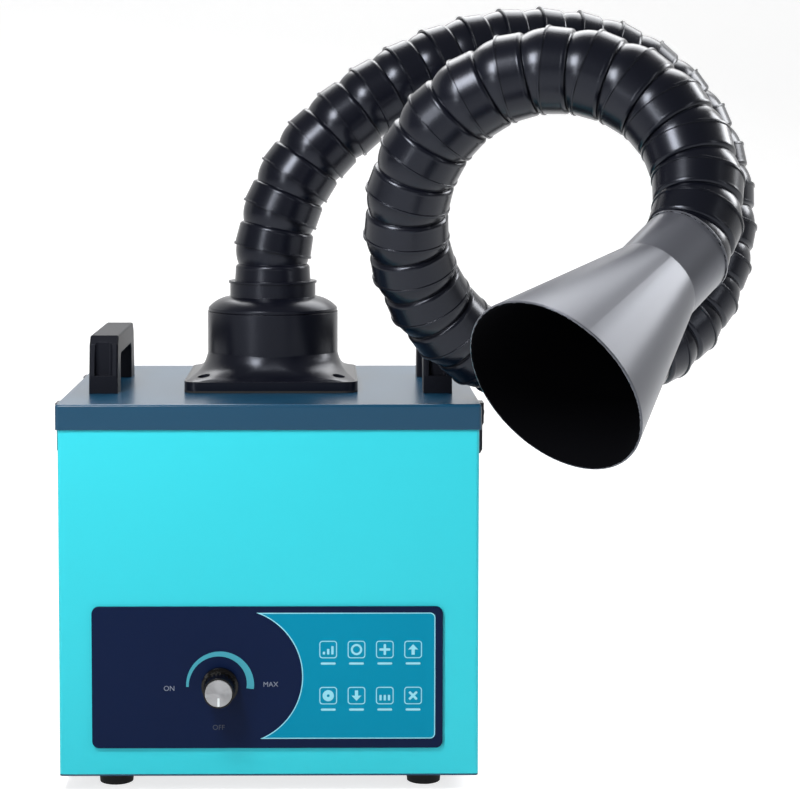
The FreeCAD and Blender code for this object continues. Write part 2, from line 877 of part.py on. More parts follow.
# Sections of the flange's flare: the share of the rise, and the shares of the way from the
# plate's half side and corner to the pedestal's radius
FLARE_SHARES = [(0.0, 0.12, 0.0), (0.25, 0.62, 0.55), (0.6, 0.9, 0.88), (1.0, 1.03, 0.982)]


def make_arm_flange():
    half = float(S.flange_side) / 2
    plate_top = float(S.flange_plate)
    radius = float(S.flange_radius)
    corner = float(S.flange_corner)
    plate = Part.Face(rounded_square(half, corner, 0)).extrude(FreeCAD.Vector(0, 0, plate_top))
    sections = []
    for rise, inward, rounding in FLARE_SHARES:
        section_half = half + (radius - half) * inward
        section_corner = corner + (radius - corner) * rounding
        section_z = plate_top + rise * float(S.flare_height)
        sections.append(rounded_square(section_half, section_corner, section_z))
    flare = Part.makeLoft(sections, True, False)
    pedestal_rise = float(S.flange_height) - plate_top
    pedestal = Part.makeCylinder(radius, pedestal_rise, FreeCAD.Vector(0, 0, plate_top))
    shape = plate.fuse([flare, pedestal]).removeSplitter()
    lip_start = float(S.flange_height - S.flange_lip)
    bore = Part.makeCylinder(float(S.flange_bore), lip_start)
    mouth = Part.makeCylinder(float(S.flange_lip_radius), float(S.flange_height))
    tools = [bore, mouth]
    offset = float(S.flange_screw_offset)
    for sx, sy in corner_signs():
        spot = FreeCAD.Vector(sx * offset, sy * offset, 0)
        tools.append(Part.makeCylinder(float(HOLE), plate_top, spot))
        seat = FreeCAD.Vector(sx * offset, sy * offset, plate_top - float(S.head_height))
        tools.append(Part.makeCylinder(float(S.flange_screw_bore), float(S.flare_height), seat))
    shape = shape.cut(tools)
    item = made("arm_flange", shape)
    node(place(item, 0, 0, FLANGE_BASE), "arm_flange")


def make_flange_gasket():
    body = new_body("flange_gasket")
    plan = new_sketch(body, "XY_Plane")
    draw_loop(plan, box_corners(S.flange_side, S.flange_side))
    draw_circle(plan, S.flange_bore)
    for sx, sy in corner_signs():
        draw_circle(plan, HOLE, sx * S.flange_screw_offset, sy * S.flange_screw_offset)
    pad(body, plan, S.flange_gasket_thick)

    def outer_corner(edge):
        box = edge.BoundBox
        return is_upright(edge) and close(abs(box.XMin), S.flange_side / 2)

    round_edges(body, S.flange_corner, outer_corner)
    node(place(body, 0, 0, LID_TOP), "flange_gasket")


def make_flange_screws():
    screws = []
    seat = FLANGE_BASE + S.flange_plate - S.head_height
    for sx, sy in corner_signs():
        spot = (sx * S.flange_screw_offset, sy * S.flange_screw_offset, seat)
        screws.append(pan_screw(*spot, FreeCAD.Rotation(), S.screw_length))
    node(group(screws, "flange_screws"), "flange_screws")


# Arm segments: each has a cup towards the base and a ball towards the horn


def point(radius, along):
    """A point of a profile that turns about Z."""
    return FreeCAD.Vector(float(radius), 0, float(along))


def line(a, b):
    return Part.LineSegment(a, b).toShape()


def arc(a, b, c):
    return Part.Arc(a, b, c).toShape()


def on_ball(radius, centre, along):
    """The point of a ball's profile at a place along the axis."""
    away = float(along) - float(centre)
    return point(math.sqrt(float(radius) ** 2 - away**2), along)


def turned(edges):
    """A solid of revolution about Z from a closed profile."""
    face = Part.Face(Part.Wire(edges))
    return face.revolve(FreeCAD.Vector(0, 0, 0), FreeCAD.Vector(0, 0, 1), 360)


SOCKET_RADIUS = S.ball_radius + S.ball_gap
BALL_BORE = S.ball_radius - S.segment_wall


def ball_edges(centre):
    """The outer ball, its rim and the bore inside it, from the neck out and back in."""
    neck = centre - S.neck_reach
    rim = centre + S.rim_reach
    neck_point = on_ball(S.ball_radius, centre, neck)
    rim_out = on_ball(S.ball_radius, centre, rim)
    rim_in = on_ball(BALL_BORE, centre, rim)
    throat_point = on_ball(BALL_BORE, centre, centre - S.web_reach)
    edges = [
        arc(neck_point, point(S.ball_radius, centre), rim_out),
        line(rim_out, rim_in),
        arc(rim_in, point(BALL_BORE, centre), throat_point),
    ]
    return neck_point, throat_point, edges


def socket_edges(leave):
    """The cup's inside from a point on the bore to the lip, and the lip to the cup's wall."""
    deep = on_ball(SOCKET_RADIUS, 0, S.socket_reach)
    lip_in = on_ball(SOCKET_RADIUS, 0, -S.lip_reach)
    lip_step = S.lip_height - S.lip_reach
    lip_out = point(S.lip_radius, -S.lip_reach)
    lip_top = point(S.lip_radius, lip_step)
    cup = point(S.cup_radius, lip_step)
    edges = [
        line(leave, deep),
        arc(deep, point(SOCKET_RADIUS, 0), lip_in),
        line(lip_in, lip_out),
        line(lip_out, lip_top),
        line(lip_top, cup),
    ]
    return cup, edges


# Where the rounding of a shoulder passes, as a share of its width and of its height
SHOULDER_SHARE = math.sqrt(0.5)


def shoulder_edges(foot, shoulder, neck):
    """A wall from its foot to a shoulder, and the rounding from the shoulder into the neck."""
    middle_radius = neck.x + (shoulder.x - neck.x) * SHOULDER_SHARE
    middle_rise = shoulder.z + (neck.z - shoulder.z) * SHOULDER_SHARE
    return [line(foot, shoulder), arc(shoulder, point(middle_radius, middle_rise), neck)]


def segment_solid():
    neck, throat, ball = ball_edges(S.pitch)
    web_radius = on_ball(SOCKET_RADIUS, 0, S.socket_reach).x
    web = point(web_radius, throat.z)
    cup, socket = socket_edges(web)
    wall = shoulder_edges(cup, point(S.shoulder_radius, S.shoulder_at), neck)
    return turned(wall + ball + [line(throat, web)] + socket)


def horn_solid():
    mouth_in = S.horn_mouth_radius - S.horn_wall
    neck_in = S.cup_radius - S.horn_wall
    throat = point(neck_in, S.horn_throat_at)
    cup, socket = socket_edges(throat)
    neck_end = point(S.cup_radius, S.horn_neck)
    mouth_out = point(S.horn_mouth_radius, S.horn_length)
    mouth_edge = point(mouth_in, S.horn_length)
    inner_end = point(neck_in, S.horn_neck)
    edges = [
        line(cup, neck_end),
        line(neck_end, mouth_out),
        line(mouth_out, mouth_edge),
        line(mouth_edge, inner_end),
        line(inner_end, throat),
    ]
    solid = turned(edges + socket)
    rim = [edge for edge in solid.Edges if runs_at(edge, "Z", S.horn_length)]
    return solid.makeFillet(float(S.horn_rim_radius), rim)


def arm_direction(turn, lean):
    """The way that a segment points, from its turn to the right and its lean to the front."""
    turn, lean = math.radians(turn), math.radians(lean)
    return FreeCAD.Vector(math.sin(turn) * math.cos(lean), -math.sin(lean), math.cos(turn) * math.cos(lean))


# The first ball stands on the swivel dome
ARM_START = FLANGE_TOP + S.stub_rise


def arm_path():
    """The ball centres of the arm and the direction of each segment, and then the horn's."""
    centres = [FreeCAD.Vector(0, 0, float(ARM_START))]
    ways = []
    turn = lean = 0.0
    for name, count, turn_step, lean_step in ARM_STRETCHES:
        for step in range(count):
            turn += turn_step
            lean += lean_step
            way = arm_direction(turn, lean)
            ways.append(way)
            centres.append(centres[-1] + way * float(S.pitch))
    ways.append(arm_direction(turn + HORN_TURN, lean + HORN_LEAN))
    return centres, ways


def aimed(shape, spot, way):
    """A copy of a turned shape with its axis along a direction."""
    copy = shape.copy()
    copy.Placement = FreeCAD.Placement(spot, FreeCAD.Rotation(FreeCAD.Vector(0, 0, 1), way))
    return copy


def make_arm():
    centres, ways = arm_path()
    segment = segment_solid()
    first = 0
    for number, last in enumerate(LAST_SEGMENTS, 1):
        solids = [aimed(segment, centres[i], ways[i]) for i in range(first, last)]
        node(made("arm_length", Part.makeCompound(solids)), f"arm_length_{number}")
        first = last
    horn = made("suction_horn", horn_solid())
    horn.Placement = FreeCAD.Placement(centres[-1], FreeCAD.Rotation(FreeCAD.Vector(0, 0, 1), ways[-1]))
    node(horn, "suction_horn")
    before = FreeCAD.Vector(0, 0, 1)
    for index in [0] + LAST_SEGMENTS:
        if index:
            before = ways[index - 1]
        axis = before.cross(ways[index]).normalize()
        bend = math.degrees(before.getAngle(ways[index]))
        spot = [round(c, 4) for c in centres[index]]
        print("arm joint", index, spot, [round(c, 5) for c in axis], round(bend, 2))


# Swivel dome: turns on the flange's top and carries the first ball
CROWN_SHARE = 0.62


def make_swivel_dome():
    neck, throat, ball = ball_edges(S.stub_rise)
    base = float(S.swivel_gap)
    spigot_radius = float(S.flange_lip_radius - S.swivel_gap)
    spigot_in = spigot_radius - float(S.spigot_wall)
    foot = -float(S.spigot_length)
    groove = spigot_radius - float(S.ring_groove)
    ring_top = -float(S.flange_lip + S.swivel_gap)
    ring_foot = ring_top - float(S.ring_height)
    collar = float(S.collar_radius)
    lip = collar + float(S.collar_lip)
    top = float(S.collar_top)
    lip_foot = top - float(S.collar_lip_height)
    dome_top = float(S.dome_height)
    dome_edge = base + float(S.dome_edge)
    dome = float(S.dome_radius)
    crown_out = collar + (dome - collar) * CROWN_SHARE
    crown = point(crown_out, dome_edge + (dome_top - dome_edge) * CROWN_SHARE)
    stub = point(S.stub_radius, top)
    shoulder = point(S.stub_shoulder_radius, S.stub_rise - S.pitch + S.shoulder_at)
    corners = [
        point(spigot_radius, base),
        point(dome, base),
        point(dome, dome_edge),
    ]
    edges = [line(a, b) for a, b in zip(corners, corners[1:])]
    edges.append(arc(corners[-1], crown, point(collar, dome_top)))
    outer = [
        point(collar, dome_top),
        point(collar, lip_foot),
        point(lip, lip_foot),
        point(lip, top),
        stub,
    ]
    edges += [line(a, b) for a, b in zip(outer, outer[1:])]
    edges += shoulder_edges(stub, shoulder, neck)
    edges += ball
    inner = [
        throat,
        point(throat.x, 0),
        point(spigot_in, -float(S.spigot_wall)),
        point(spigot_in, foot),
        point(spigot_radius, foot),
        point(spigot_radius, ring_foot),
        point(groove, ring_foot),
        point(groove, ring_top),
        point(spigot_radius, ring_top),
        point(spigot_radius, base),
    ]
    edges += [line(a, b) for a, b in zip(inner, inner[1:])]
    item = made("swivel_dome", turned(edges))
    node(place(item, 0, 0, FLANGE_TOP), "swivel_dome")


def make_swivel_ring():
    groove = S.flange_lip_radius - S.swivel_gap - S.ring_groove
    outer = S.flange_lip_radius - S.swivel_gap + S.ring_reach
    foot = FLANGE_TOP - S.flange_lip - S.swivel_gap - S.ring_height
    ring = rod(outer, S.ring_height, 0, 0, foot)
    bore = rod(groove, S.ring_height, 0, 0, foot)
    split = block(S.ring_split, outer, S.ring_height, 0, outer / 2, foot)
    node(cut(ring, [bore, split]), "swivel_ring")


# Control panel, knob and speed control
PANEL_FACE = FRONT_FACE - S.panel_thick
KNOB_BASE = PANEL_FACE - S.knob_gap


def make_control_panel():
    body = new_body("control_panel")
    plan = new_sketch(body, "XZ_Plane")
    draw_loop(plan, box_corners(S.panel_width, S.panel_height))
    draw_circle(plan, S.bushing_radius + S.screw_gap, S.knob_x - S.panel_shift, S.knob_rise - S.panel_rise)
    pad(body, plan, S.panel_thick)

    def corner(edge):
        box = edge.BoundBox
        straight = close(box.XLength, 0) and close(box.ZLength, 0)
        return straight and close(abs(box.XMin), S.panel_width / 2)

    round_edges(body, S.panel_corner, corner)
    node(place(body, S.panel_shift, FRONT_FACE, S.panel_rise), "control_panel")


def make_knob():
    body = new_body("knob_body")
    profile = new_sketch(body, "XZ_Plane")
    shaft_bore = S.shaft_radius + S.shaft_gap
    cap_seat = S.knob_height - S.cap_height + S.cap_sink
    bore_end = S.knob_gap + S.shaft_reach
    draw_loop(
        profile,
        [
            (S.knob_hollow_radius, as_size(0)),
            (S.knob_skirt_radius, as_size(0)),
            (S.knob_skirt_radius, S.knob_skirt_height),
            (S.knob_radius, S.knob_skirt_height + S.cap_sink),
            (S.knob_top_radius, S.knob_height),
            (S.cap_radius + S.shaft_gap, S.knob_height),
            (S.cap_radius + S.shaft_gap, cap_seat),
            (as_size(0), cap_seat),
            (as_size(0), bore_end),
            (shaft_bore, bore_end),
            (shaft_bore, S.knob_hollow_depth),
            (S.knob_hollow_radius, S.knob_hollow_depth),
        ],
    )
    revolve(body, profile)
    flute = new_sketch(body, "XY_Plane", S.knob_height)
    draw_circle(flute, S.flute_radius, S.knob_radius + S.flute_radius / 3)
    groove = pocket(body, flute, S.knob_height - S.knob_skirt_height - S.cap_sink)
    ring_pattern(body, groove, FLUTES)
    node(place(body, S.knob_x, KNOB_BASE, S.knob_rise, TO_FRONT), "knob_body")
    cap_start = KNOB_BASE - cap_seat
    cap = rod(S.cap_radius, S.cap_height, S.knob_x, cap_start, S.knob_rise, TO_FRONT)
    node(cap, "knob_cap")
    shaft_start = FRONT_FACE + S.sheet + S.pot_depth / 2 - S.sheet_gap
    shaft_end = KNOB_BASE - bore_end
    shaft = rod(S.shaft_radius, shaft_start - shaft_end, S.knob_x, shaft_start, S.knob_rise, TO_FRONT)
    node(shaft, "knob_shaft")


def make_potentiometer():
    back = FRONT_FACE + S.sheet
    can = rod(S.pot_radius, S.pot_depth, S.knob_x, back + S.pot_depth, S.knob_rise, TO_FRONT)
    bushing_length = S.sheet + S.panel_thick + S.bushing_reach
    bushing = rod(S.bushing_radius, bushing_length, S.knob_x, back, S.knob_rise, TO_FRONT)
    bore_start = back + S.pot_depth / 2
    bore_length = bushing_length + S.pot_depth / 2
    bore = rod(S.shaft_radius + S.shaft_gap, bore_length, S.knob_x, bore_start, S.knob_rise, TO_FRONT)
    node(cut(join([can, bushing]), [bore]), "potentiometer")
    nut = hexagon(S.pot_nut_radius, S.pot_nut_height, S.knob_x, PANEL_FACE, S.knob_rise, TO_FRONT)
    nut_bore_radius = S.bushing_radius + S.shaft_gap
    nut_bore = rod(nut_bore_radius, S.pot_nut_height, S.knob_x, PANEL_FACE, S.knob_rise, TO_FRONT)
    node(cut(nut, [nut_bore]), "pot_nut")


BOARD_FRONT = FRONT_FACE + S.sheet + S.standoff_length
BOARD_BACK = BOARD_FRONT + S.board_thick
TERMINAL_BACK = BOARD_BACK + S.terminal_depth


def make_speed_board():
    board = block(
        S.board_width, S.board_thick, S.board_height, S.knob_x, BOARD_FRONT + S.board_thick / 2,
        S.knob_rise - S.board_height / 2,
    )
    node(board, "speed_board")
    standoffs = []
    for sx, sz in corner_signs():
        x = S.knob_x + sx * (S.board_width / 2 - S.standoff_inset)
        z = S.knob_rise + sz * (S.board_height / 2 - S.standoff_inset)
        standoffs.append(rod(S.standoff_radius, S.standoff_length, x, BOARD_FRONT, z, TO_FRONT))
    node(group(standoffs, "board_standoffs"), "board_standoffs")
    left = S.knob_x - S.board_width / 2
    foot = S.knob_rise - S.board_height / 2
    terminal = block(
        S.terminal_width, S.terminal_depth, S.terminal_height, left + S.terminal_width / 2,
        BOARD_BACK + S.terminal_depth / 2, foot + S.standoff_inset,
    )
    sink = block(
        S.sink_width, S.sink_depth, S.sink_height, S.knob_x + S.board_width / 2 - S.sink_width,
        BOARD_BACK + S.sink_depth / 2, S.knob_rise - S.sink_height / 2,
    )
    cans = []
    can_rise = S.knob_rise + S.sink_height / 3
    for step in (0, 1):
        x = S.knob_x + (step - 1) * (2 * S.cap_can_radius + S.sink_width / 2)
        cans.append(rod(S.cap_can_radius, S.cap_can_height, x, BOARD_BACK, can_rise, TO_BACK))
    node(group([terminal, sink] + cans, "board_parts"), "board_parts")


# Partition, its ledges and the filter stack
SIDE_INSIDE = HALF_WIDTH - S.sheet
CLEAR_DEPTH = S.case_depth - 3 * S.sheet - 2 * S.bend_radius
CLEAR_Y = -S.sheet / 2
FILTER_WIDTH = S.case_width - 2 * (S.sheet + S.rim_flange + S.filter_gap)
FILTER_DEPTH = S.case_depth - 2 * (S.sheet + S.rim_flange + S.filter_gap)
SEAL_FOOT = PARTITION + S.sheet
CARBON_FOOT = SEAL_FOOT + S.seal_thick
FINE_FOOT = CARBON_FOOT + S.carbon_height
COARSE_FOOT = RIM - S.headroom - S.coarse_height
FINE_HEIGHT = COARSE_FOOT - FINE_FOOT


def make_partition():
    plate = block(S.case_width - 2 * S.sheet - 2 * S.sheet_gap, CLEAR_DEPTH, S.sheet, 0, CLEAR_Y, PARTITION)
    eye = rod(S.inlet_radius, S.sheet, 0, S.blower_shift, PARTITION)
    node(cut(plate, [eye]), "partition_plate")
    ledges = []
    for sx in (-1, 1):
        wall_x = sx * (SIDE_INSIDE - S.sheet / 2)
        upright = block(S.sheet, CLEAR_DEPTH, S.ledge_width, wall_x, CLEAR_Y, PARTITION - S.ledge_width)
        shelf_x = sx * (SIDE_INSIDE - S.ledge_width / 2)
        shelf = block(S.ledge_width, CLEAR_DEPTH, S.sheet, shelf_x, CLEAR_Y, PARTITION - S.sheet)
        ledges.append(join([upright, shelf], "ledge"))
    node(group(ledges, "partition_ledges"), "partition_ledges")


def frame_ring(width, depth, height, wall, z):
    """A rectangular ring."""
    outer = block(width, depth, height, 0, 0, z)
    inner = block(width - 2 * wall, depth - 2 * wall, height, 0, 0, z)
    return cut(outer, [inner])


def make_filters():
    node(frame_ring(FILTER_WIDTH, FILTER_DEPTH, S.seal_thick, S.seal_width, SEAL_FOOT), "filter_seal")
    node(frame_ring(FILTER_WIDTH, FILTER_DEPTH, S.carbon_height, S.frame_wall, CARBON_FOOT), "carbon_frame")
    core_width = FILTER_WIDTH - 2 * S.frame_wall - 2 * S.sheet_gap
    core_depth = FILTER_DEPTH - 2 * S.frame_wall - 2 * S.sheet_gap
    node(block(core_width, core_depth, S.carbon_height, 0, 0, CARBON_FOOT), "carbon_core")
    node(frame_ring(FILTER_WIDTH, FILTER_DEPTH, FINE_HEIGHT, S.frame_wall, FINE_FOOT), "fine_frame")
    node(made("fine_pleats", pleat_solid(core_width, core_depth)), "fine_pleats")
    node(frame_ring(FILTER_WIDTH, FILTER_DEPTH, S.coarse_height, S.coarse_wall, COARSE_FOOT), "coarse_frame")
    mat_width = FILTER_WIDTH - 2 * S.coarse_wall - 2 * S.sheet_gap
    mat_depth = FILTER_DEPTH - 2 * S.coarse_wall - 2 * S.sheet_gap
    node(block(mat_width, mat_depth, S.mat_height, 0, 0, COARSE_FOOT), "coarse_mat")


def pleat_solid(width, depth):
    """One folded sheet of filter paper, wall to wall."""
    width, depth = float(width), float(depth)
    count = int(width // float(S.pleat_pitch))
    step = width / count
    foot = float(FINE_FOOT)
    crest = foot + float(FINE_HEIGHT - S.pleat_thick)
    under, over = [], []
    for i in range(2 * count + 1):
        x = -width / 2 + i * step / 2
        z = foot if i % 2 == 0 else crest
        under.append(FreeCAD.Vector(x, -depth / 2, z))
        over.append(FreeCAD.Vector(x, -depth / 2, z + float(S.pleat_thick)))
    outline = under + over[::-1] + under[:1]
    return Part.Face(Part.makePolygon(outline)).extrude(FreeCAD.Vector(0, depth, 0))


# Blower: a scroll under the partition, with the wheel on the motor's shaft
SCROLL_FOOT = PARTITION - S.scroll_height
WHEEL_FOOT = SCROLL_FOOT + S.scroll_wall + S.wheel_gap


# A quarter turn, in degrees
QUARTER = 90.0


def scroll_face(inset):
    """The scroll's plan, drawn in by a wall: three quarter turns that widen by a step, and a duct."""
    centre = FreeCAD.Vector(0, float(S.blower_shift), 0)
    step = float(S.scroll_step)
    radius = float(S.scroll_radius) - inset
    edges = []

    def quarter(hub, size, start):
        spots = []
        for angle in (start, start + QUARTER / 2, start + QUARTER):
            way = FreeCAD.Vector(math.cos(math.radians(angle)), math.sin(math.radians(angle)), 0)
            spots.append(hub + way * size)
        edges.append(arc(*spots))
        return spots[0], spots[-1]

    hub_one = centre
    hub_two = centre + FreeCAD.Vector(step, 0, 0)
    hub_three = centre + FreeCAD.Vector(step, step, 0)
    begin = quarter(hub_one, radius, QUARTER)[0]
    quarter(hub_two, radius + step, 2 * QUARTER)
    right = quarter(hub_three, radius + 2 * step, 3 * QUARTER)[1]
    duct_end = float(BACK_INSIDE)
    right_x = right.x
    duct_left = right_x - float(S.duct_width) + 2 * inset
    corner_right = FreeCAD.Vector(right_x, duct_end, 0)
    corner_left = FreeCAD.Vector(duct_left, duct_end, 0)
    tongue = FreeCAD.Vector(duct_left, begin.y, 0)
    edges.append(line(right, corner_right))
    edges.append(line(corner_right, corner_left))
    edges.append(line(corner_left, tongue))
    edges.append(line(tongue, begin))
    return Part.Face(Part.Wire(edges))


def make_blower():
    wall = float(S.scroll_wall)
    height = float(S.scroll_height)
    outer = scroll_face(0).extrude(FreeCAD.Vector(0, 0, height))
    inner = scroll_face(wall).extrude(FreeCAD.Vector(0, 0, height - 2 * wall))
    inner.translate(FreeCAD.Vector(0, 0, wall))
    middle = FreeCAD.Vector(0, float(S.blower_shift), 0)
    eye = Part.makeCylinder(float(S.inlet_radius), wall, middle + FreeCAD.Vector(0, 0, height - wall))
    shaft_hole = Part.makeCylinder(float(S.hub_radius), wall, middle)
    tools = [inner, eye, shaft_hole]
    for spot in motor_bolts():
        tools.append(Part.makeCylinder(float(HOLE), wall, FreeCAD.Vector(spot[0], spot[1], 0)))
    duct_width = float(S.duct_width) - 2 * wall
    mouth = Part.makeBox(duct_width, wall, height - 2 * wall)
    mouth.translate(FreeCAD.Vector(float(DUCT_X) - duct_width / 2, float(BACK_INSIDE) - wall, wall))
    shape = outer.cut(tools + [mouth])
    item = made("blower_scroll", shape)
    node(place(item, 0, 0, SCROLL_FOOT), "blower_scroll")


def motor_bolts():
    """The plan positions of the motor's four screws."""
    reach = float(S.motor_bolt_circle)
    middle = float(S.blower_shift)
    spots = []
    for quarter in range(4):
        angle = math.radians(QUARTER / 2 + QUARTER * quarter)
        spots.append((reach * math.cos(angle), middle + reach * math.sin(angle)))
    return spots


def make_impeller():
    body = new_body("impeller")
    disc = new_sketch(body, "XY_Plane")
    draw_circle(disc, S.wheel_radius)
    draw_circle(disc, S.shaft_radius + S.shaft_gap)
    pad(body, disc, S.wheel_plate)
    hub = new_sketch(body, "XY_Plane")
    draw_circle(hub, S.hub_radius)
    draw_circle(hub, S.shaft_radius + S.shaft_gap)
    pad(body, hub, S.hub_height)
    shroud = new_sketch(body, "XY_Plane", S.wheel_height)
    draw_circle(shroud, S.wheel_radius)
    draw_circle(shroud, S.wheel_eye)
    blade = new_sketch(body, "XY_Plane")
    blade_middle = S.wheel_radius - S.blade_length / 2 - S.blade_thick
    draw_loop(blade, box_corners(S.blade_length, S.blade_thick, blade_middle, 0))
    blades = pad(body, blade, S.wheel_height)
    ring_pattern(body, blades, BLADES)
    pad(body, shroud, S.wheel_plate, back=True)
    node(place(body, 0, S.blower_shift, WHEEL_FOOT), "impeller")
    shaft_foot = SCROLL_FOOT - S.motor_shaft_depth + S.sheet_gap
    shaft_length = WHEEL_FOOT + S.hub_height - shaft_foot
    node(rod(S.shaft_radius, shaft_length, 0, S.blower_shift, shaft_foot), "fan_shaft")


def make_motor():
    body = new_body("fan_motor")
    profile = new_sketch(body, "XZ_Plane")
    draw_loop(
        profile,
        [
            (as_size(0), -S.motor_height),
            (S.motor_radius - S.motor_edge, -S.motor_height),
            (S.motor_radius, S.motor_edge - S.motor_height),
            (S.motor_radius, -S.motor_edge),
            (S.motor_radius - S.motor_edge, as_size(0)),
            (as_size(0), as_size(0)),
        ],
    )
    revolve(body, profile)
    box = new_sketch(body, "XY_Plane", -S.motor_height / 2)
    draw_loop(box, box_corners(2 * S.motor_box, S.motor_box, 0, -S.motor_radius))
    pad(body, box, S.motor_box, both_ways=True)
    bore = new_sketch(body, "XY_Plane")
    draw_circle(bore, S.shaft_radius + S.shaft_gap)
    pocket(body, bore, S.motor_shaft_depth)
    bolts = new_sketch(body, "XY_Plane")
    reach = S.motor_bolt_circle / math.sqrt(2)
    for sx, sy in corner_signs():
        draw_circle(bolts, S.screw_radius + S.shaft_gap, sx * reach, sy * reach)
    pocket(body, bolts, S.screw_length)
    node(place(body, 0, S.blower_shift, SCROLL_FOOT), "fan_motor")
    screws = []
    for sx, sy in corner_signs():
        spot = (sx * reach, S.blower_shift + sy * reach, SCROLL_FOOT + S.scroll_wall)
        screws.append(pan_screw(*spot, FreeCAD.Rotation(), S.screw_length))
    node(group(screws, "motor_screws"), "motor_screws")


# Exhaust grille and mains inlet on the back panel
def make_exhaust_grille():
    body = new_body("exhaust_grille")
    width = S.duct_width + 2 * S.grille_margin
    height = S.scroll_height + 2 * S.grille_margin
    plan = new_sketch(body, "XZ_Plane")
    draw_loop(plan, box_corners(width, height))
    pad(body, plan, S.grille_thick)
    slots = new_sketch(body, "XZ_Plane", S.grille_thick)
    for i in range(GRILLE_SLOTS):
        level = (i - (GRILLE_SLOTS - 1) / 2) * S.slot_pitch
        draw_loop(slots, box_corners(S.duct_width - 2 * S.scroll_wall, S.slot_height, 0, level))
    pocket(body, slots, S.grille_thick + S.overrun)

    def face_edge(edge):
        box = edge.BoundBox
        outline = close(abs(box.XMin), width / 2) or close(abs(box.ZMin), height / 2)
        return outline and close(box.YMin, -S.grille_thick) and close(box.YLength, 0)

    round_edges(body, S.grille_lip, face_edge)
    turn = FreeCAD.Rotation(FreeCAD.Vector(0, 0, 1), 180)
    node(place(body, DUCT_X, BACK_FACE, DUCT_Z, turn), "exhaust_grille")


SOCKET_Z = S.inlet_rise + S.socket_lift
DRAWER_Z = S.inlet_rise - S.drawer_drop
INLET_FACE = BACK_FACE + S.inlet_flange_thick


def make_inlet():
    flange = block(
        S.inlet_flange_width, S.inlet_flange_thick, S.inlet_flange_height, INLET_X,
        BACK_FACE + S.inlet_flange_thick / 2, S.inlet_rise - S.inlet_flange_height / 2,
    )
    body = block(
        S.inlet_body_width, S.inlet_body_depth, S.inlet_body_height, INLET_X,
        BACK_FACE - S.inlet_body_depth / 2, S.inlet_rise - S.inlet_body_height / 2,
    )
    socket = block(
        S.socket_width, S.socket_depth, S.socket_height, INLET_X,
        INLET_FACE - S.socket_depth / 2, SOCKET_Z - S.socket_height / 2,
    )
    drawer = block(
        S.drawer_width + 2 * S.sheet_gap, S.drawer_depth + S.sheet_gap, S.drawer_height + 2 * S.sheet_gap,
        INLET_X, INLET_FACE - (S.drawer_depth + S.sheet_gap) / 2, DRAWER_Z - S.drawer_height / 2 - S.sheet_gap,
    )
    holes = []
    screws = []
    for sx in (-1, 1):
        x = INLET_X + sx * S.inlet_screw_space / 2
        holes.append(rod(HOLE, S.inlet_flange_thick, x, BACK_FACE, S.inlet_rise, TO_BACK))
        screws.append(pan_screw(x, INLET_FACE, S.inlet_rise, TO_BACK, S.screw_length))
    node(cut(join([flange, body]), [socket, drawer] + holes), "inlet_socket")
    node(group(screws, "inlet_screws"), "inlet_screws")
    pins = []
    socket_floor = INLET_FACE - S.socket_depth
    for step in (-1, 0, 1):
        lift = S.pin_space / 2 if step == 0 else -S.pin_space / 2
        pins.append(
            block(
                S.pin_thick, S.pin_length, S.pin_width, INLET_X + step * S.pin_space,
                socket_floor + S.pin_length / 2, SOCKET_Z + lift - S.pin_width / 2,
            )
        )
    node(group(pins, "inlet_pins"), "inlet_pins")
    tray = block(
        S.drawer_width, S.drawer_depth, S.drawer_height, INLET_X,
        INLET_FACE - S.drawer_depth / 2, DRAWER_Z - S.drawer_height / 2,
    )
    lip = block(
        S.drawer_width, S.drawer_lip, S.drawer_height / 2, INLET_X,
        INLET_FACE + S.drawer_lip / 2, DRAWER_Z,
    )
    node(join([tray, lip]), "fuse_drawer")


# Inner leads: round leads that the case holds from end to end
def lead_solid(spots):
    """A round lead along straight runs, with equal bends between them."""
    radius = float(S.lead_radius)
    bend = float(S.lead_bend)
    edges = []
    here = spots[0]
    for before, corner, after in zip(spots, spots[1:], spots[2:]):
        back = (before - corner).normalize()
        ahead = (after - corner).normalize()
        half = back.getAngle(ahead) / 2
        reach = bend / math.tan(half)
        middle = corner + (back + ahead).normalize() * (bend / math.sin(half) - bend)
        start = corner + back * reach
        end = corner + ahead * reach
        edges.append(line(here, start))
        edges.append(arc(start, middle, end))
        here = end
    edges.append(line(here, spots[-1]))
    path = Part.Wire(edges)
    way = (spots[1] - spots[0]).normalize()
    ring = Part.Wire(Part.makeCircle(radius, spots[0], way))
    solid = path.makePipeShell([ring], True, True)
    expected = math.pi * radius**2 * path.Length
    if abs(solid.Volume - expected) > expected / 100:
        raise ValueError("a lead's volume is not its section times its length")
    return solid


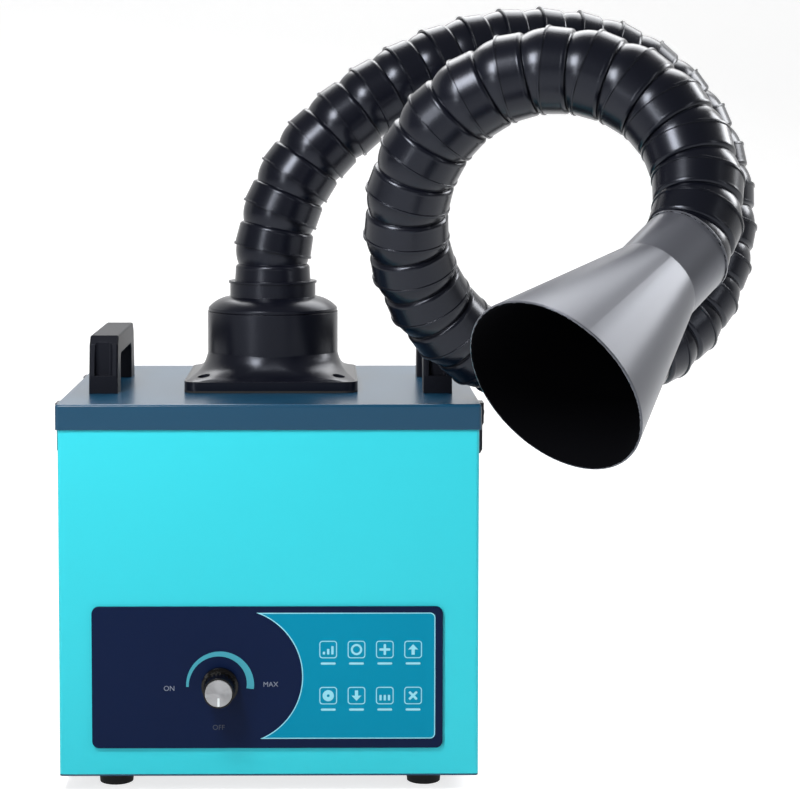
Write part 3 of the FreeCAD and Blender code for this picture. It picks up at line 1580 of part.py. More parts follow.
def make_leads():
    level = float(S.knob_rise - S.board_height / 2 + S.standoff_inset + S.terminal_height / 2)
    first = float(S.knob_x - S.board_width / 2 + S.terminal_width / 4)
    second = first + float(S.terminal_width) / 2
    terminal = float(TERMINAL_BACK)
    swing = float(S.lead_swing)
    inlet = FreeCAD.Vector(float(INLET_X), float(BACK_FACE - S.inlet_body_depth), level)
    mains = [
        inlet,
        FreeCAD.Vector(inlet.x, terminal + 2 * swing, level),
        FreeCAD.Vector(first, terminal + swing, level),
        FreeCAD.Vector(first, terminal, level),
    ]
    node(made("mains_lead", lead_solid(mains)), "mains_lead")
    box_face = float(S.blower_shift - S.motor_radius - S.motor_box / 2)
    box_level = float(SCROLL_FOOT - S.motor_height / 2)
    entry = -float(S.motor_box) / 2
    motor = [
        FreeCAD.Vector(second, terminal, level),
        FreeCAD.Vector(second, terminal + swing, level),
        FreeCAD.Vector(entry, box_face - swing, box_level),
        FreeCAD.Vector(entry, box_face, box_level),
    ]
    node(made("motor_lead", lead_solid(motor)), "motor_lead")


make_bottom_pan()
make_case_wrap()
make_back_panel()
make_case_screws()
make_feet()
make_lid_shell()
make_lid_gasket()
make_lid_clips()
make_handle("handle_left", -1)
make_handle("handle_right", 1)
make_handle_screws()
make_flange_gasket()
make_arm_flange()
make_flange_screws()
make_swivel_dome()
make_swivel_ring()
make_arm()
make_control_panel()
make_knob()
make_potentiometer()
make_speed_board()
make_partition()
make_filters()
make_blower()
make_impeller()
make_motor()
make_exhaust_grille()
make_inlet()
make_leads()
doc.recompute()

# Every object has to be sound before anything is written
for item in doc.Objects:
    if "Invalid" in item.State or "Error" in item.State:
        raise ValueError(f"{item.Label} failed: {item.State}")
for item in NODES:
    if item.Shape.isNull() or not item.Shape.isValid():
        raise ValueError(f"{item.Label} has no valid shape")

os.makedirs("parts", exist_ok=True)
for item in NODES:
    item.Shape.exportStep(f"parts/{item.Label}.step")
    print(item.Label, len(item.Shape.Solids), round(item.Shape.Volume))
print(len(NODES), "sub-parts")
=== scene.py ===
# %% [markdown]
# # A welding fume extractor
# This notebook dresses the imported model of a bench-top welding fume extractor. The case, the lid,
# the arm and the horn come from the frame as finished solids. The notebook gives each of them a
# surface, prints the control panel, and sets up a plain studio around the object.

import json
import math

import bmesh
import bpy
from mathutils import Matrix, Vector


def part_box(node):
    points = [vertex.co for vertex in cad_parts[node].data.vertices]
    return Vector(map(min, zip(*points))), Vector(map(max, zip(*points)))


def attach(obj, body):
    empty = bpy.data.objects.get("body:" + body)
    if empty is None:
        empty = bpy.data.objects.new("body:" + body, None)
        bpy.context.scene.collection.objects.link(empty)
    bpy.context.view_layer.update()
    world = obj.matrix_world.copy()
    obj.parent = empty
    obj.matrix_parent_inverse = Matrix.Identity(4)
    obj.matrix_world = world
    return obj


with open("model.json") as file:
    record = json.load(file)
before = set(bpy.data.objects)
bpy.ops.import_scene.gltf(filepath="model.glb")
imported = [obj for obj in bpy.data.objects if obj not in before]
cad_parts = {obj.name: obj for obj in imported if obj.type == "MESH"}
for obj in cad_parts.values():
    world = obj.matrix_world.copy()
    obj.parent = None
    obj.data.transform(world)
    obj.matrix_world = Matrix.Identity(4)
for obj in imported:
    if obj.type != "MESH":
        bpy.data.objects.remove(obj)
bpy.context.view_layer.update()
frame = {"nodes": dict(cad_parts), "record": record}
nodes = frame["nodes"]

# %% [markdown]
# ## Units
# The scene is in metres, and the sizes of printed marks are easier to read in millimetres. One
# named factor turns the one into the other.

# %% Units
MM = 0.001


def mm(*values):
    """Millimetres as metres."""
    scaled = [value * MM for value in values]
    return scaled[0] if len(scaled) == 1 else tuple(scaled)


print("one millimetre is", MM, "metres")

# %% [markdown]
# ## How a surface is built
# Every surface is a Principled shader with a little unevenness. A noise texture moves the colour
# a few percent, because no moulding or paint is the same all over, and a finer noise feeds a bump
# node for the grain. A bevel node softens the light on sharp edges, as a deburred edge does.

# %% Surface helper
NOISE_DETAIL = 4.0
EDGE_SOFTNESS = mm(0.7)
GRAIN_DEPTH = mm(0.2)
PLAIN_GRAIN = (900.0, 0.05)
PLAIN_MOTTLE = (14.0, 0.06)
WHITE = (1.0, 1.0, 1.0)


def surface(
    name,
    colour,
    roughness,
    metallic=0.0,
    specular=0.3,
    sheen=WHITE,
    grain=PLAIN_GRAIN,
    mottle=PLAIN_MOTTLE,
    soft_edges=True,
):
    """A Principled material with mottled colour and a grain.

    grain and mottle are pairs of scale and strength, and sheen is the tint of the highlights.
    """
    material = bpy.data.materials.new(name)
    material.use_nodes = True
    tree = material.node_tree
    shader = tree.nodes["Principled BSDF"]
    shader.inputs["Roughness"].default_value = roughness
    shader.inputs["Metallic"].default_value = metallic
    shader.inputs["Specular IOR Level"].default_value = specular
    shader.inputs["Specular Tint"].default_value = (*sheen, 1.0)
    place = tree.nodes.new("ShaderNodeTexCoord")
    cloud = tree.nodes.new("ShaderNodeTexNoise")
    cloud.inputs["Scale"].default_value = mottle[0]
    cloud.inputs["Detail"].default_value = NOISE_DETAIL
    tree.links.new(place.outputs["Object"], cloud.inputs["Vector"])
    ramp = tree.nodes.new("ShaderNodeValToRGB")
    for stop, side in zip(ramp.color_ramp.elements, (-1, 1)):
        shade = [channel * (1 + side * mottle[1]) for channel in colour]
        stop.color = (*shade, 1.0)
    tree.links.new(cloud.outputs["Fac"], ramp.inputs["Fac"])
    tree.links.new(ramp.outputs["Color"], shader.inputs["Base Color"])
    fine = tree.nodes.new("ShaderNodeTexNoise")
    fine.inputs["Scale"].default_value = grain[0]
    fine.inputs["Detail"].default_value = NOISE_DETAIL
    tree.links.new(place.outputs["Object"], fine.inputs["Vector"])
    bump = tree.nodes.new("ShaderNodeBump")
    bump.inputs["Strength"].default_value = grain[1]
    bump.inputs["Distance"].default_value = GRAIN_DEPTH
    tree.links.new(fine.outputs["Fac"], bump.inputs["Height"])
    if soft_edges:
        bevel = tree.nodes.new("ShaderNodeBevel")
        bevel.inputs["Radius"].default_value = EDGE_SOFTNESS
        tree.links.new(bevel.outputs["Normal"], bump.inputs["Normal"])
    tree.links.new(bump.outputs["Normal"], shader.inputs["Normal"])
    return material


print("surface helper ready")

# %% [markdown]
# ## Paint
# The case is powder coated in pale turquoise and the lid in dark blue. Powder coat has a fine
# orange-peel texture, so the grain is coarser and softer than on plastic. The lid's coat is glossier,
# which is why it mirrors the pale room in the photograph.

# %% Paint the case and the lid
case_paint = surface("case paint", (0.034, 0.63, 0.735), 0.38, grain=(420.0, 0.06), mottle=(3.0, 0.03))
lid_paint = surface(
    "lid paint", (0.006, 0.055, 0.112), 0.26, specular=0.35, grain=(420.0, 0.04), mottle=(4.0, 0.04)
)

print("paints:", case_paint.name, "and", lid_paint.name)

# %% [markdown]
# ## Plastics and rubber
# The handles, the flange and the arm are black mouldings. The arm and the horn are satin, so their
# highlights are long and bright, with the cool tint that they have in the photograph. The handles have
# a rougher, duller grain for the hand, and the feet and gaskets are rubber.

# %% Plastics
COOL = (0.82, 0.87, 1.0)
black_plastic = surface(
    "black plastic", (0.0035, 0.004, 0.008), 0.29, specular=0.3, sheen=COOL, grain=(1200.0, 0.05)
)
arm_plastic = surface(
    "arm plastic", (0.003, 0.0035, 0.007), 0.26, specular=0.34, sheen=COOL, grain=(1500.0, 0.03)
)
# The horn's colour is lifted to dark grey, partly its own tone and partly painted sheen.
horn_plastic = surface(
    "horn plastic", (0.060, 0.062, 0.073), 0.36, specular=1.0, sheen=COOL, grain=(1500.0, 0.03)
)
handle_plastic = surface(
    "handle plastic", (0.006, 0.0065, 0.010), 0.45, specular=0.14, sheen=COOL, grain=(900.0, 0.15)
)
knob_plastic = surface("knob plastic", (0.004, 0.0035, 0.0035), 0.16, specular=0.22, grain=(1500.0, 0.03))
rubber = surface("rubber", (0.018, 0.018, 0.018), 0.75, grain=(800.0, 0.15))
blower_plastic = surface("blower plastic", (0.05, 0.05, 0.055), 0.45)
board_plastic = surface("board plastic", (0.08, 0.22, 0.10), 0.5)
lead_sleeve = surface("lead sleeve", (0.02, 0.02, 0.024), 0.5)

print("nine plastics")

# %% [markdown]
# ## Metals and filter media
# Screws and the inner sheet are zinc plated, the knob's cap is turned aluminium, and the motor's
# shell is cast. The cap's turning marks run in circles, so its highlight is stretched by a tangent
# around the Y axis. The filter stack is paper, card, mat and carbon grains, which are all rough. The
# circuit board is the last of the hidden surfaces.

# %% Metals and filters
TURNING_MARKS = 0.95
steel = surface("zinc steel", (0.52, 0.52, 0.53), 0.32, metallic=1.0)
zinc_sheet = surface("zinc sheet", (0.55, 0.56, 0.57), 0.42, metallic=1.0, mottle=(60.0, 0.12))
knob_metal = surface("knob metal", (0.30, 0.30, 0.31), 0.3, metallic=1.0, grain=(2500.0, 0.05))
motor_shell = surface("motor shell", (0.42, 0.42, 0.44), 0.5, metallic=1.0, grain=(500.0, 0.2))
brass = surface("brass", (0.68, 0.52, 0.24), 0.3, metallic=1.0)
filter_frame = surface("filter frame", (0.62, 0.62, 0.64), 0.35, metallic=1.0)
carbon = surface("carbon", (0.02, 0.02, 0.021), 0.85, grain=(350.0, 1.0), mottle=(300.0, 0.5))
filter_paper = surface("filter paper", (0.80, 0.79, 0.75), 0.9, grain=(900.0, 0.2))
filter_card = surface("filter card", (0.55, 0.44, 0.30), 0.85, grain=(700.0, 0.2), mottle=(90.0, 0.1))
filter_mat = surface("filter mat", (0.84, 0.85, 0.86), 0.95, grain=(420.0, 1.0), mottle=(160.0, 0.1))
circuit_board = surface("circuit board", (0.015, 0.16, 0.06), 0.35, grain=(600.0, 0.1))

turned = knob_metal.node_tree.nodes.new("ShaderNodeTangent")
turned.direction_type = "RADIAL"
turned.axis = "Y"
turned_shader = knob_metal.node_tree.nodes["Principled BSDF"]
turned_shader.inputs["Anisotropic"].default_value = TURNING_MARKS
knob_metal.node_tree.links.new(turned.outputs["Tangent"], turned_shader.inputs["Tangent"])

print("eleven metals and inner surfaces")

# %% [markdown]
# ## Give each node its surface
# The control panel is covered with a dark film, which is the last surface to make. The record names a
# material slot for every node, so one table from slot to surface then dresses the whole model. Only the
# handles differ from their slot, because of their grain.

# %% Dress the nodes
panel_film = surface(
    "panel film", (0.002, 0.009, 0.042), 0.4, specular=0.1, grain=(1500.0, 0.03), mottle=(6.0, 0.05)
)

SURFACES = {
    "case_paint": case_paint,
    "lid_paint": lid_paint,
    "black_plastic": black_plastic,
    "arm_plastic": arm_plastic,
    "horn_plastic": horn_plastic,
    "panel_film": panel_film,
    "knob_plastic": knob_plastic,
    "knob_metal": knob_metal,
    "rubber": rubber,
    "steel": steel,
    "zinc_sheet": zinc_sheet,
    "carbon": carbon,
    "filter_frame": filter_frame,
    "filter_paper": filter_paper,
    "filter_card": filter_card,
    "filter_mat": filter_mat,
    "blower_plastic": blower_plastic,
    "motor_shell": motor_shell,
    "circuit_board": circuit_board,
    "board_plastic": board_plastic,
    "brass": brass,
    "lead_sleeve": lead_sleeve,
}
for subpart in frame["record"]["subparts"]:
    node = nodes[subpart["node"]]
    node.data.materials.clear()
    node.data.materials.append(SURFACES[subpart["material_slot"]])
for side in ("handle_left", "handle_right"):
    nodes[side].data.materials[0] = handle_plastic

# %% [markdown]
# ## The horn's two sides
# The horn is one plastic, given a lit and a shaded copy. Its satin outside has its colour lifted to dark
# grey, partly its own tone and partly painted sheen, while its inside is kept deep black and dull as
# painted shade in the hollow. The ball at the horn's root and the middle of its mouth give its axis. A
# point of the surface is on the outside if its normal points away from that axis, and the shader works
# that out from the object's own coordinates, so it stays right when the horn tilts.

# %% Horn inside and outside
# Painted shade: the deep black of the horn's inside, which is also made dull.
PAINTED_SHADE_INSIDE = (0.0015, 0.0015, 0.002, 1.0)
DULL = {"Roughness": 0.8, "Specular IOR Level": 0.03}


def named(rows, name):
    """The row of a record's list that has a name."""
    return next(row for row in rows if row["name"] == name)


record = frame["record"]
horn = nodes["suction_horn"]
to_horn = horn.matrix_world.inverted()
horn_root = to_horn @ Vector(named(record["behaviour"]["joints"], "horn_tilt")["pos_m"])
mouth_low, mouth_high = named(record["physics"]["openings"], "horn_mouth")["box_m"]
mouth_middle = to_horn @ ((Vector(mouth_low) + Vector(mouth_high)) / 2)
horn_axis = (mouth_middle - horn_root).normalized()


def vector_step(tree, operation, first, second):
    """A vector step whose inputs are sockets or fixed vectors."""
    step = tree.nodes.new("ShaderNodeVectorMath")
    step.operation = operation
    for socket, value in zip(step.inputs, (first, second)):
        if isinstance(value, bpy.types.NodeSocket):
            tree.links.new(value, socket)
        else:
            socket.default_value = value
    return step


def faces_outward(tree, root, axis):
    """A socket that is 1 where the surface looks away from an axis and 0 where it looks at it."""
    place = tree.nodes.new("ShaderNodeTexCoord")
    reach = vector_step(tree, "SUBTRACT", place.outputs["Object"], root)
    along = vector_step(tree, "PROJECT", reach.outputs["Vector"], axis)
    away = vector_step(tree, "SUBTRACT", reach.outputs["Vector"], along.outputs["Vector"])
    facing = vector_step(tree, "DOT_PRODUCT", away.outputs["Vector"], place.outputs["Normal"])
    outside = tree.nodes.new("ShaderNodeMath")
    outside.operation = "GREATER_THAN"
    outside.inputs[1].default_value = 0.0
    tree.links.new(facing.outputs["Value"], outside.inputs[0])
    return outside.outputs["Value"]


def paint_shade_inside(material, root, axis):
    """Paint shade into the inside of a hollow cone, black and dull, and leave its outside as it is."""
    tree = material.node_tree
    shader = tree.nodes["Principled BSDF"]
    outside = faces_outward(tree, root, axis)
    both = tree.nodes.new("ShaderNodeMix")
    both.data_type = "RGBA"
    tree.links.new(outside, both.inputs["Factor"])
    colour_in, colour_out = [socket for socket in both.inputs if socket.type == "RGBA"]
    colour_in.default_value = PAINTED_SHADE_INSIDE
    tree.links.new(shader.inputs["Base Color"].links[0].from_socket, colour_out)
    mixed = next(socket for socket in both.outputs if socket.type == "RGBA")
    tree.links.new(mixed, shader.inputs["Base Color"])
    for quality, dull in DULL.items():
        ease = tree.nodes.new("ShaderNodeMapRange")
        ease.inputs["To Min"].default_value = dull
        ease.inputs["To Max"].default_value = shader.inputs[quality].default_value
        tree.links.new(outside, ease.inputs["Value"])
        tree.links.new(ease.outputs["Result"], shader.inputs[quality])


paint_shade_inside(horn_plastic, horn_root, horn_axis)

print("horn axis", [round(part, 3) for part in horn_axis])

# %% [markdown]
# ## Printing on the panel
# The panel's print is made of thin plates that lie on its face, like a screen print with a real
# thickness. Each plate is a flat outline in the X and Z of the front, given a depth of a few
# hundredths of a millimetre. A later layer lies a little further out, so that it covers the earlier.

# %% Plate helper
PANEL_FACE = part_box("control_panel")[0].y
INK = mm(0.04)
BASE_LAYER, WINDOW_LAYER, FRAME_LAYER, TILE_LAYER, MOTIF_LAYER = range(5)
CORNER_STEPS = 6


def plate(name, outline, layer, material, body="case", face=PANEL_FACE):
    """A thin printed plate on a face that looks to the front."""
    mesh = bpy.data.meshes.new(name)
    shape = bmesh.new()
    front = face - INK * (layer + 1)
    corners = [shape.verts.new((x, front, z)) for x, z in outline]
    sheet = shape.faces.new(corners)
    grown = bmesh.ops.extrude_face_region(shape, geom=[sheet])
    for vertex in grown["geom"]:
        if isinstance(vertex, bmesh.types.BMVert):
            vertex.co.y = face - INK * layer
    bmesh.ops.recalc_face_normals(shape, faces=shape.faces)
    shape.to_mesh(mesh)
    shape.free()
    mesh.materials.append(material)
    piece = bpy.data.objects.new(name, mesh)
    bpy.context.scene.collection.objects.link(piece)
    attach(piece, body)
    return piece


def on_circle(centre, radius, degrees):
    """A point of a circle in X and Z, by its angle from the right, counter-clockwise."""
    angle = math.radians(degrees)
    return (centre[0] + radius * math.cos(angle), centre[1] + radius * math.sin(angle))


def arc_points(centre, radius, start, end, steps):
    """Points of an arc, from one angle to another."""
    return [on_circle(centre, radius, start + (end - start) * i / steps) for i in range(steps + 1)]


def rounded_box(centre, width, height, radius):
    """The outline of a rectangle with round corners."""
    points = []
    for quarter, (sx, sz) in enumerate(((1, 1), (-1, 1), (-1, -1), (1, -1))):
        hub = (centre[0] + sx * (width / 2 - radius), centre[1] + sz * (height / 2 - radius))
        points += arc_points(hub, radius, 90 * quarter, 90 * quarter + 90, CORNER_STEPS)
    return points


print("panel face at y =", round(PANEL_FACE, 4))

# %% [markdown]
# ## The blue window
# Beside the knob lies a blue field with a thin pale edge. Its left side is cut by a circle around
# the knob. The pale edge is the same field grown by less than a millimetre, one layer further back.

# %% Window
window_ink = surface(
    "window ink", (0.003, 0.26, 0.42), 0.4, specular=0.05, soft_edges=False, mottle=(9.0, 0.05)
)
pale_ink = surface("pale ink", (0.30, 0.72, 0.85), 0.4, soft_edges=False)

WINDOW_RIGHT = mm(117)
WINDOW_FOOT = mm(39.8)
WINDOW_TOP = mm(128.6)
WINDOW_CORNER = mm(3)
CUT_CENTRE = mm(-24.7, 83.7)
CUT_RADIUS = mm(49)
EDGE_LINE = mm(0.7)
CUT_STEPS = 32


def window_outline(grow):
    """The window's outline, grown by a margin."""
    top, foot, right = WINDOW_TOP + grow, WINDOW_FOOT - grow, WINDOW_RIGHT + grow
    radius = CUT_RADIUS - grow
    corner = WINDOW_CORNER + grow
    high = math.degrees(math.asin((top - CUT_CENTRE[1]) / radius))
    low = math.degrees(math.asin((foot - CUT_CENTRE[1]) / radius))
    points = arc_points(CUT_CENTRE, radius, high, low, CUT_STEPS)
    points += arc_points((right - corner, foot + corner), corner, -90, 0, CORNER_STEPS)
    points += arc_points((right - corner, top - corner), corner, 0, 90, CORNER_STEPS)
    return points


plate("window_edge", window_outline(EDGE_LINE), BASE_LAYER, pale_ink)
plate("window", window_outline(0), WINDOW_LAYER, window_ink)

print("window", round((WINDOW_RIGHT - CUT_CENTRE[0]) / MM), "mm from the cut's centre to its right side")

# %% [markdown]
# ## Pictograms
# The window shows a field of small pictograms. These are plain motifs of our own, in two rows of
# four: bars, a ring, a plus and an arrow. Each sits in a thin rounded frame over a bar that stands
# for a caption, so the panel reads as an instrument without any wording.

# %% Pictograms
TILE = mm(12.5)
TILE_CORNER = mm(2.2)
TILE_LINE = mm(0.7)
TILE_PITCH_X = mm(20)
TILE_ROWS = (mm(103), mm(70))
TILE_LEFT = mm(42)
CAPTION_DROP = mm(10)
CAPTION_SIZE = mm(10.5, 1.6)
TILES_IN_A_ROW = 4
BAR_HEIGHT = TILE * 0.32
BAR_GROWTH = TILE * 0.16
BAR_WIDTH = TILE * 0.13
BAR_CORNER = TILE * 0.03
BAR_PITCH = TILE * 0.24
BAR_FOOT = TILE * 0.28
RING_RADIUS = TILE * 0.32
RING_STEPS = 20
PLUS_LENGTH = TILE * 0.62
PLUS_WIDTH = TILE * 0.14
PLUS_CORNER = TILE * 0.05
ARROW_HALF_WIDTH = TILE * 0.28
ARROW_HALF_STEM = TILE * 0.09
ARROW_HALF_HEIGHT = TILE * 0.3


def bars(x, z, growth):
    """Three upright bars on one line, which may grow to the right."""
    outlines = []
    for i in (-1, 0, 1):
        height = BAR_HEIGHT + growth * i
        middle = (x + i * BAR_PITCH, z - BAR_FOOT + height / 2)
        outlines.append(rounded_box(middle, BAR_WIDTH, height, BAR_CORNER))
    return outlines


def ring(x, z, inner):
    """A ring as two halves."""
    halves = []
    for start in (0, 180):
        outer_arc = arc_points((x, z), RING_RADIUS, start, start + 180, RING_STEPS)
        inner_arc = arc_points((x, z), inner, start + 180, start, RING_STEPS)
        halves.append(outer_arc + inner_arc)
    return halves


def plus(x, z, turn):
    """Two crossed bars, upright or turned."""
    outlines = []
    for step in (0, 90):
        outline = []
        for px, pz in rounded_box((0, 0), PLUS_LENGTH, PLUS_WIDTH, PLUS_CORNER):
            angle = math.radians(step + turn)
            along = px * math.cos(angle) - pz * math.sin(angle)
            up = px * math.sin(angle) + pz * math.cos(angle)
            outline.append((x + along, z + up))
        outlines.append(outline)
    return outlines


def arrow(x, z, way):
    """An arrow that points up or down."""
    wide, stem, high = ARROW_HALF_WIDTH, ARROW_HALF_STEM, ARROW_HALF_HEIGHT
    points = [(-stem, -high), (stem, -high), (stem, 0), (wide, 0), (0, high), (-wide, 0), (-stem, 0)]
    return [[(x + px, z + way * pz) for px, pz in points]]


MOTIFS = [
    (bars, BAR_GROWTH),
    (ring, TILE * 0.2),
    (plus, 0),
    (arrow, 1),
    (ring, TILE * 0.08),
    (arrow, -1),
    (bars, 0),
    (plus, 45),
]
for index, (motif, option) in enumerate(MOTIFS):
    row, column = divmod(index, TILES_IN_A_ROW)
    x = TILE_LEFT + column * TILE_PITCH_X
    z = TILE_ROWS[row]
    inside = TILE - 2 * TILE_LINE
    outer_tile = rounded_box((x, z), TILE, TILE, TILE_CORNER)
    plate(f"frame_{index + 1}", outer_tile, FRAME_LAYER, pale_ink)
    inner_tile = rounded_box((x, z), inside, inside, TILE_CORNER - TILE_LINE)
    plate(f"tile_{index + 1}", inner_tile, TILE_LAYER, window_ink)
    # Every second part lies one layer further out, because the two bars of a plus cross.
    for part, outline in enumerate(motif(x, z, option)):
        plate(f"motif_{index + 1}_{part + 1}", outline, MOTIF_LAYER + part % 2, pale_ink)
    caption = rounded_box((x, z - CAPTION_DROP), *CAPTION_SIZE, CAPTION_SIZE[1] / 2)
    plate(f"caption_{index + 1}", caption, FRAME_LAYER, pale_ink)

print("printed", len(MOTIFS), "pictograms")

# %% [markdown]
# ## The dial
# A blue arc sweeps around the knob and widens towards the high end. Its outer side is a circle and
# its inner side draws in step by step. The lettering says where the knob is off, on and at its most.

# %% Dial
dial_ink = surface("dial ink", (0.055, 0.36, 0.46), 0.4, soft_edges=False)
white_ink = surface("white ink", (0.80, 0.84, 0.86), 0.45, soft_edges=False)
dim_ink = surface("dim ink", (0.22, 0.25, 0.32), 0.45, soft_edges=False)
faint_ink = surface("faint ink", (0.055, 0.062, 0.085), 0.45, soft_edges=False)

knob_low, knob_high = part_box("knob_body")
DIAL_CENTRE = ((knob_low.x + knob_high.x) / 2, (knob_low.z + knob_high.z) / 2)
DIAL_RADIUS = mm(24)
DIAL_THIN = mm(1.8)
DIAL_THICK = mm(5.3)
DIAL_START = 183
DIAL_END = -7
DIAL_STEPS = 48

outer = arc_points(DIAL_CENTRE, DIAL_RADIUS, DIAL_START, DIAL_END, DIAL_STEPS)
inner = []
for i in range(DIAL_STEPS + 1):
    share = i / DIAL_STEPS
    radius = DIAL_RADIUS - DIAL_THIN - (DIAL_THICK - DIAL_THIN) * share
    angle = DIAL_START + (DIAL_END - DIAL_START) * share
    inner.append(on_circle(DIAL_CENTRE, radius, angle))
for i in range(DIAL_STEPS):
    quad = [outer[i], outer[i + 1], inner[i + 1], inner[i]]
    plate(f"dial_{i + 1}", quad, BASE_LAYER, dial_ink)


def letters(word, x, z, size, ink):
    """A word on the panel, centred on a point."""
    curve = bpy.data.curves.new(word, "FONT")
    curve.body = word
    curve.size = size
    curve.align_x = "CENTER"
    curve.align_y = "CENTER"
    curve.extrude = INK / 2
    curve.materials.append(ink)
    piece = bpy.data.objects.new(f"lettering_{word}", curve)
    piece.rotation_euler = (math.radians(90), 0, 0)
    piece.location = (x, PANEL_FACE - INK, z)
    bpy.context.scene.collection.objects.link(piece)
    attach(piece, "case")
    return piece


LETTER_SIZE = mm(5)
WORDS = [
    ("ON", mm(-70.4, 75.2), dim_ink),
    ("MAX", mm(1.3, 78.0), dim_ink),
    ("OFF", mm(-35.5, 47.2), faint_ink),
]
for word, (x, z), ink in WORDS:
    letters(word, x, z, LETTER_SIZE, ink)

print("dial around x =", round(DIAL_CENTRE[0], 4), "z =", round(DIAL_CENTRE[1], 4))

# %% [markdown]
# ## The knob's pointer
# A white line on the knob's cap shows where it is turned. At rest it points down, at the word for
# off. It rides on the knob, so it turns with it.

# %% Pointer
POINTER_LENGTH = mm(6)
POINTER_WIDTH = mm(1.6)
POINTER_CORNER = mm(0.5)
POINTER_INSET = mm(0.3)

cap_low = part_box("knob_cap")[0]
pointer_middle = (DIAL_CENTRE[0], cap_low.z + POINTER_LENGTH / 2 + POINTER_INSET)
pointer_outline = rounded_box(pointer_middle, POINTER_WIDTH, POINTER_LENGTH, POINTER_CORNER)
plate("pointer", pointer_outline, BASE_LAYER, white_ink, "knob", cap_low.y)

print("pointer on the cap at y =", round(cap_low.y, 4))

# %% [markdown]
# ## Studio
# The object stands on a pale floor that curves up into a backdrop, which gives the seamless white of
# a product photograph. Its paint also glows a little, but only for rays that come from the camera or
# from a mirror-like surface. So the ground looks white while no extra light falls on the object, and
# the object's shadow stays.

# %% Floor and backdrop
backdrop_paint = surface("backdrop", (0.55, 0.55, 0.55), 0.9, soft_edges=False, mottle=(1.0, 0.005))
GLOW = 0.76
FLOOR_FRONT = -14.0
FLOOR_BACK = 1.6
BEND = 1.0
BEND_STEPS = 24
WALL_TOP = 4.0
HALF_STAGE = 14.0


def glow_for_eyes(material, strength):
    """Make a surface brighter for camera, glossy and transmission rays only."""
    tree = material.node_tree
    shader = tree.nodes["Principled BSDF"]
    shader.inputs["Emission Color"].default_value = (*WHITE, 1.0)
    path = tree.nodes.new("ShaderNodeLightPath")
    seen = path.outputs["Is Camera Ray"]
    for ray in ("Is Glossy Ray", "Is Transmission Ray"):
        either = tree.nodes.new("ShaderNodeMath")
        either.operation = "MAXIMUM"
        tree.links.new(seen, either.inputs[0])
        tree.links.new(path.outputs[ray], either.inputs[1])
        seen = either.outputs[0]
    scaled = tree.nodes.new("ShaderNodeMath")
    scaled.operation = "MULTIPLY"
    scaled.inputs[1].default_value = strength
    tree.links.new(seen, scaled.inputs[0])
    tree.links.new(scaled.outputs[0], shader.inputs["Emission Strength"])


glow_for_eyes(backdrop_paint, GLOW)
profile = [(FLOOR_FRONT, 0.0)]
profile += arc_points((FLOOR_BACK, BEND), BEND, -90, 0, BEND_STEPS)
profile.append((FLOOR_BACK + BEND, WALL_TOP))
stage_mesh = bpy.data.meshes.new("backdrop")
points = [(side * HALF_STAGE, y, z) for y, z in profile for side in (-1, 1)]
faces = [(2 * i, 2 * i + 1, 2 * i + 3, 2 * i + 2) for i in range(len(profile) - 1)]
stage_mesh.from_pydata(points, [], faces)
stage_mesh.materials.append(backdrop_paint)
for face in stage_mesh.polygons:
    face.use_smooth = True
backdrop = bpy.data.objects.new("backdrop", stage_mesh)
bpy.context.scene.collection.objects.link(backdrop)

print("backdrop of", len(faces), "strips")

# %% [markdown]
# ## Light
# A broad lamp high behind and a smaller one high on the right give the arm and the horn their sheen. A
# key lamp stands near, high on the left in front, so the paint fades towards the floor and the right.
# Two tall narrow lamps stand left and right of the camera, and their reflections are the upright
# streaks on every segment of the arm. The world adds a weak light from all sides, weak enough to leave
# the black mouldings black.

# %% Lamps and world
LOOK_AT = Vector((0.05, -0.1, 0.3))
WORLD_STRENGTH = 0.21


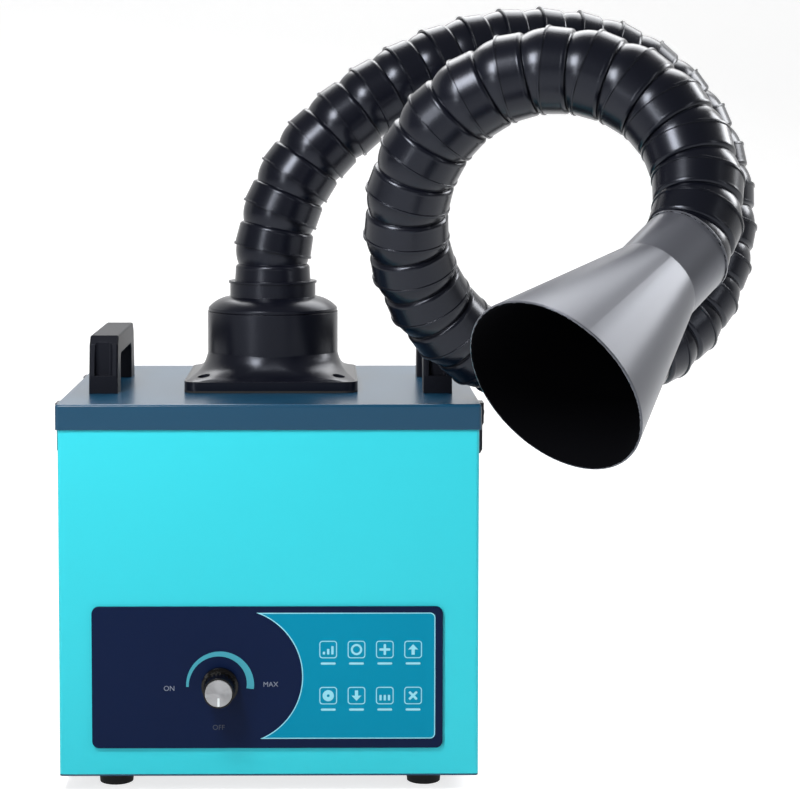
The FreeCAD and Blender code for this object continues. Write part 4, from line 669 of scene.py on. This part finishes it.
def soft_lamp(name, spot, width, height, power):
    """A rectangular lamp that looks at the object."""
    lamp = bpy.data.lights.new(name, "AREA")
    lamp.shape = "RECTANGLE"
    lamp.size = width
    lamp.size_y = height
    lamp.energy = power
    holder = bpy.data.objects.new(name, lamp)
    holder.location = spot
    holder.rotation_euler = (LOOK_AT - Vector(spot)).to_track_quat("-Z", "Y").to_euler()
    bpy.context.scene.collection.objects.link(holder)
    return holder


LAMPS = {
    "rear lamp": {"spot": (0.3, 1.2, 1.8), "width": 2.0, "height": 1.2, "power": 40},
    "side lamp": {"spot": (1.3, 0.4, 1.05), "width": 0.5, "height": 0.7, "power": 14},
    "key lamp": {"spot": (-0.28, -0.62, 0.85), "width": 0.22, "height": 0.3, "power": 6.8},
    "left lamp": {"spot": (-1.2, -1.7, 0.8), "width": 0.14, "height": 1.1, "power": 9.4},
    "right lamp": {"spot": (1.8, -1.2, 1.0), "width": 0.10, "height": 1.3, "power": 4.2},
}
for name, lamp in LAMPS.items():
    soft_lamp(name, **lamp)

world = bpy.data.worlds.new("studio")
world.use_nodes = True
bpy.context.scene.world = world
background = world.node_tree.nodes["Background"]
background.inputs["Color"].default_value = (*WHITE, 1.0)
background.inputs["Strength"].default_value = WORLD_STRENGTH

print(len(LAMPS), "soft lamps")

# %% [markdown]
# ## Camera
# The photograph looks straight at the front from a little above the arm's middle, with a long lens.
# A small shift and a slight pitch together frame the tall arm and keep the case's sides upright.

# %% Camera
CAMERA_SPOT = mm(40.1, -1559.5, 456.4)
CAMERA_PITCH = 3.23
CAMERA_YAW = 0.41
LENS = 92.16
SENSOR_WIDTH = 36.0
SHIFT = (0.075, -0.17)

lens = bpy.data.cameras.new("camera")
lens.lens = LENS
lens.sensor_width = SENSOR_WIDTH
lens.shift_x, lens.shift_y = SHIFT
camera = bpy.data.objects.new("camera", lens)
camera.location = CAMERA_SPOT
camera.rotation_euler = (math.radians(90 - CAMERA_PITCH), 0, math.radians(-CAMERA_YAW))
bpy.context.scene.collection.objects.link(camera)
bpy.context.scene.camera = camera
bpy.context.scene.view_settings.view_transform = "Standard"

print("camera at", CAMERA_SPOT)
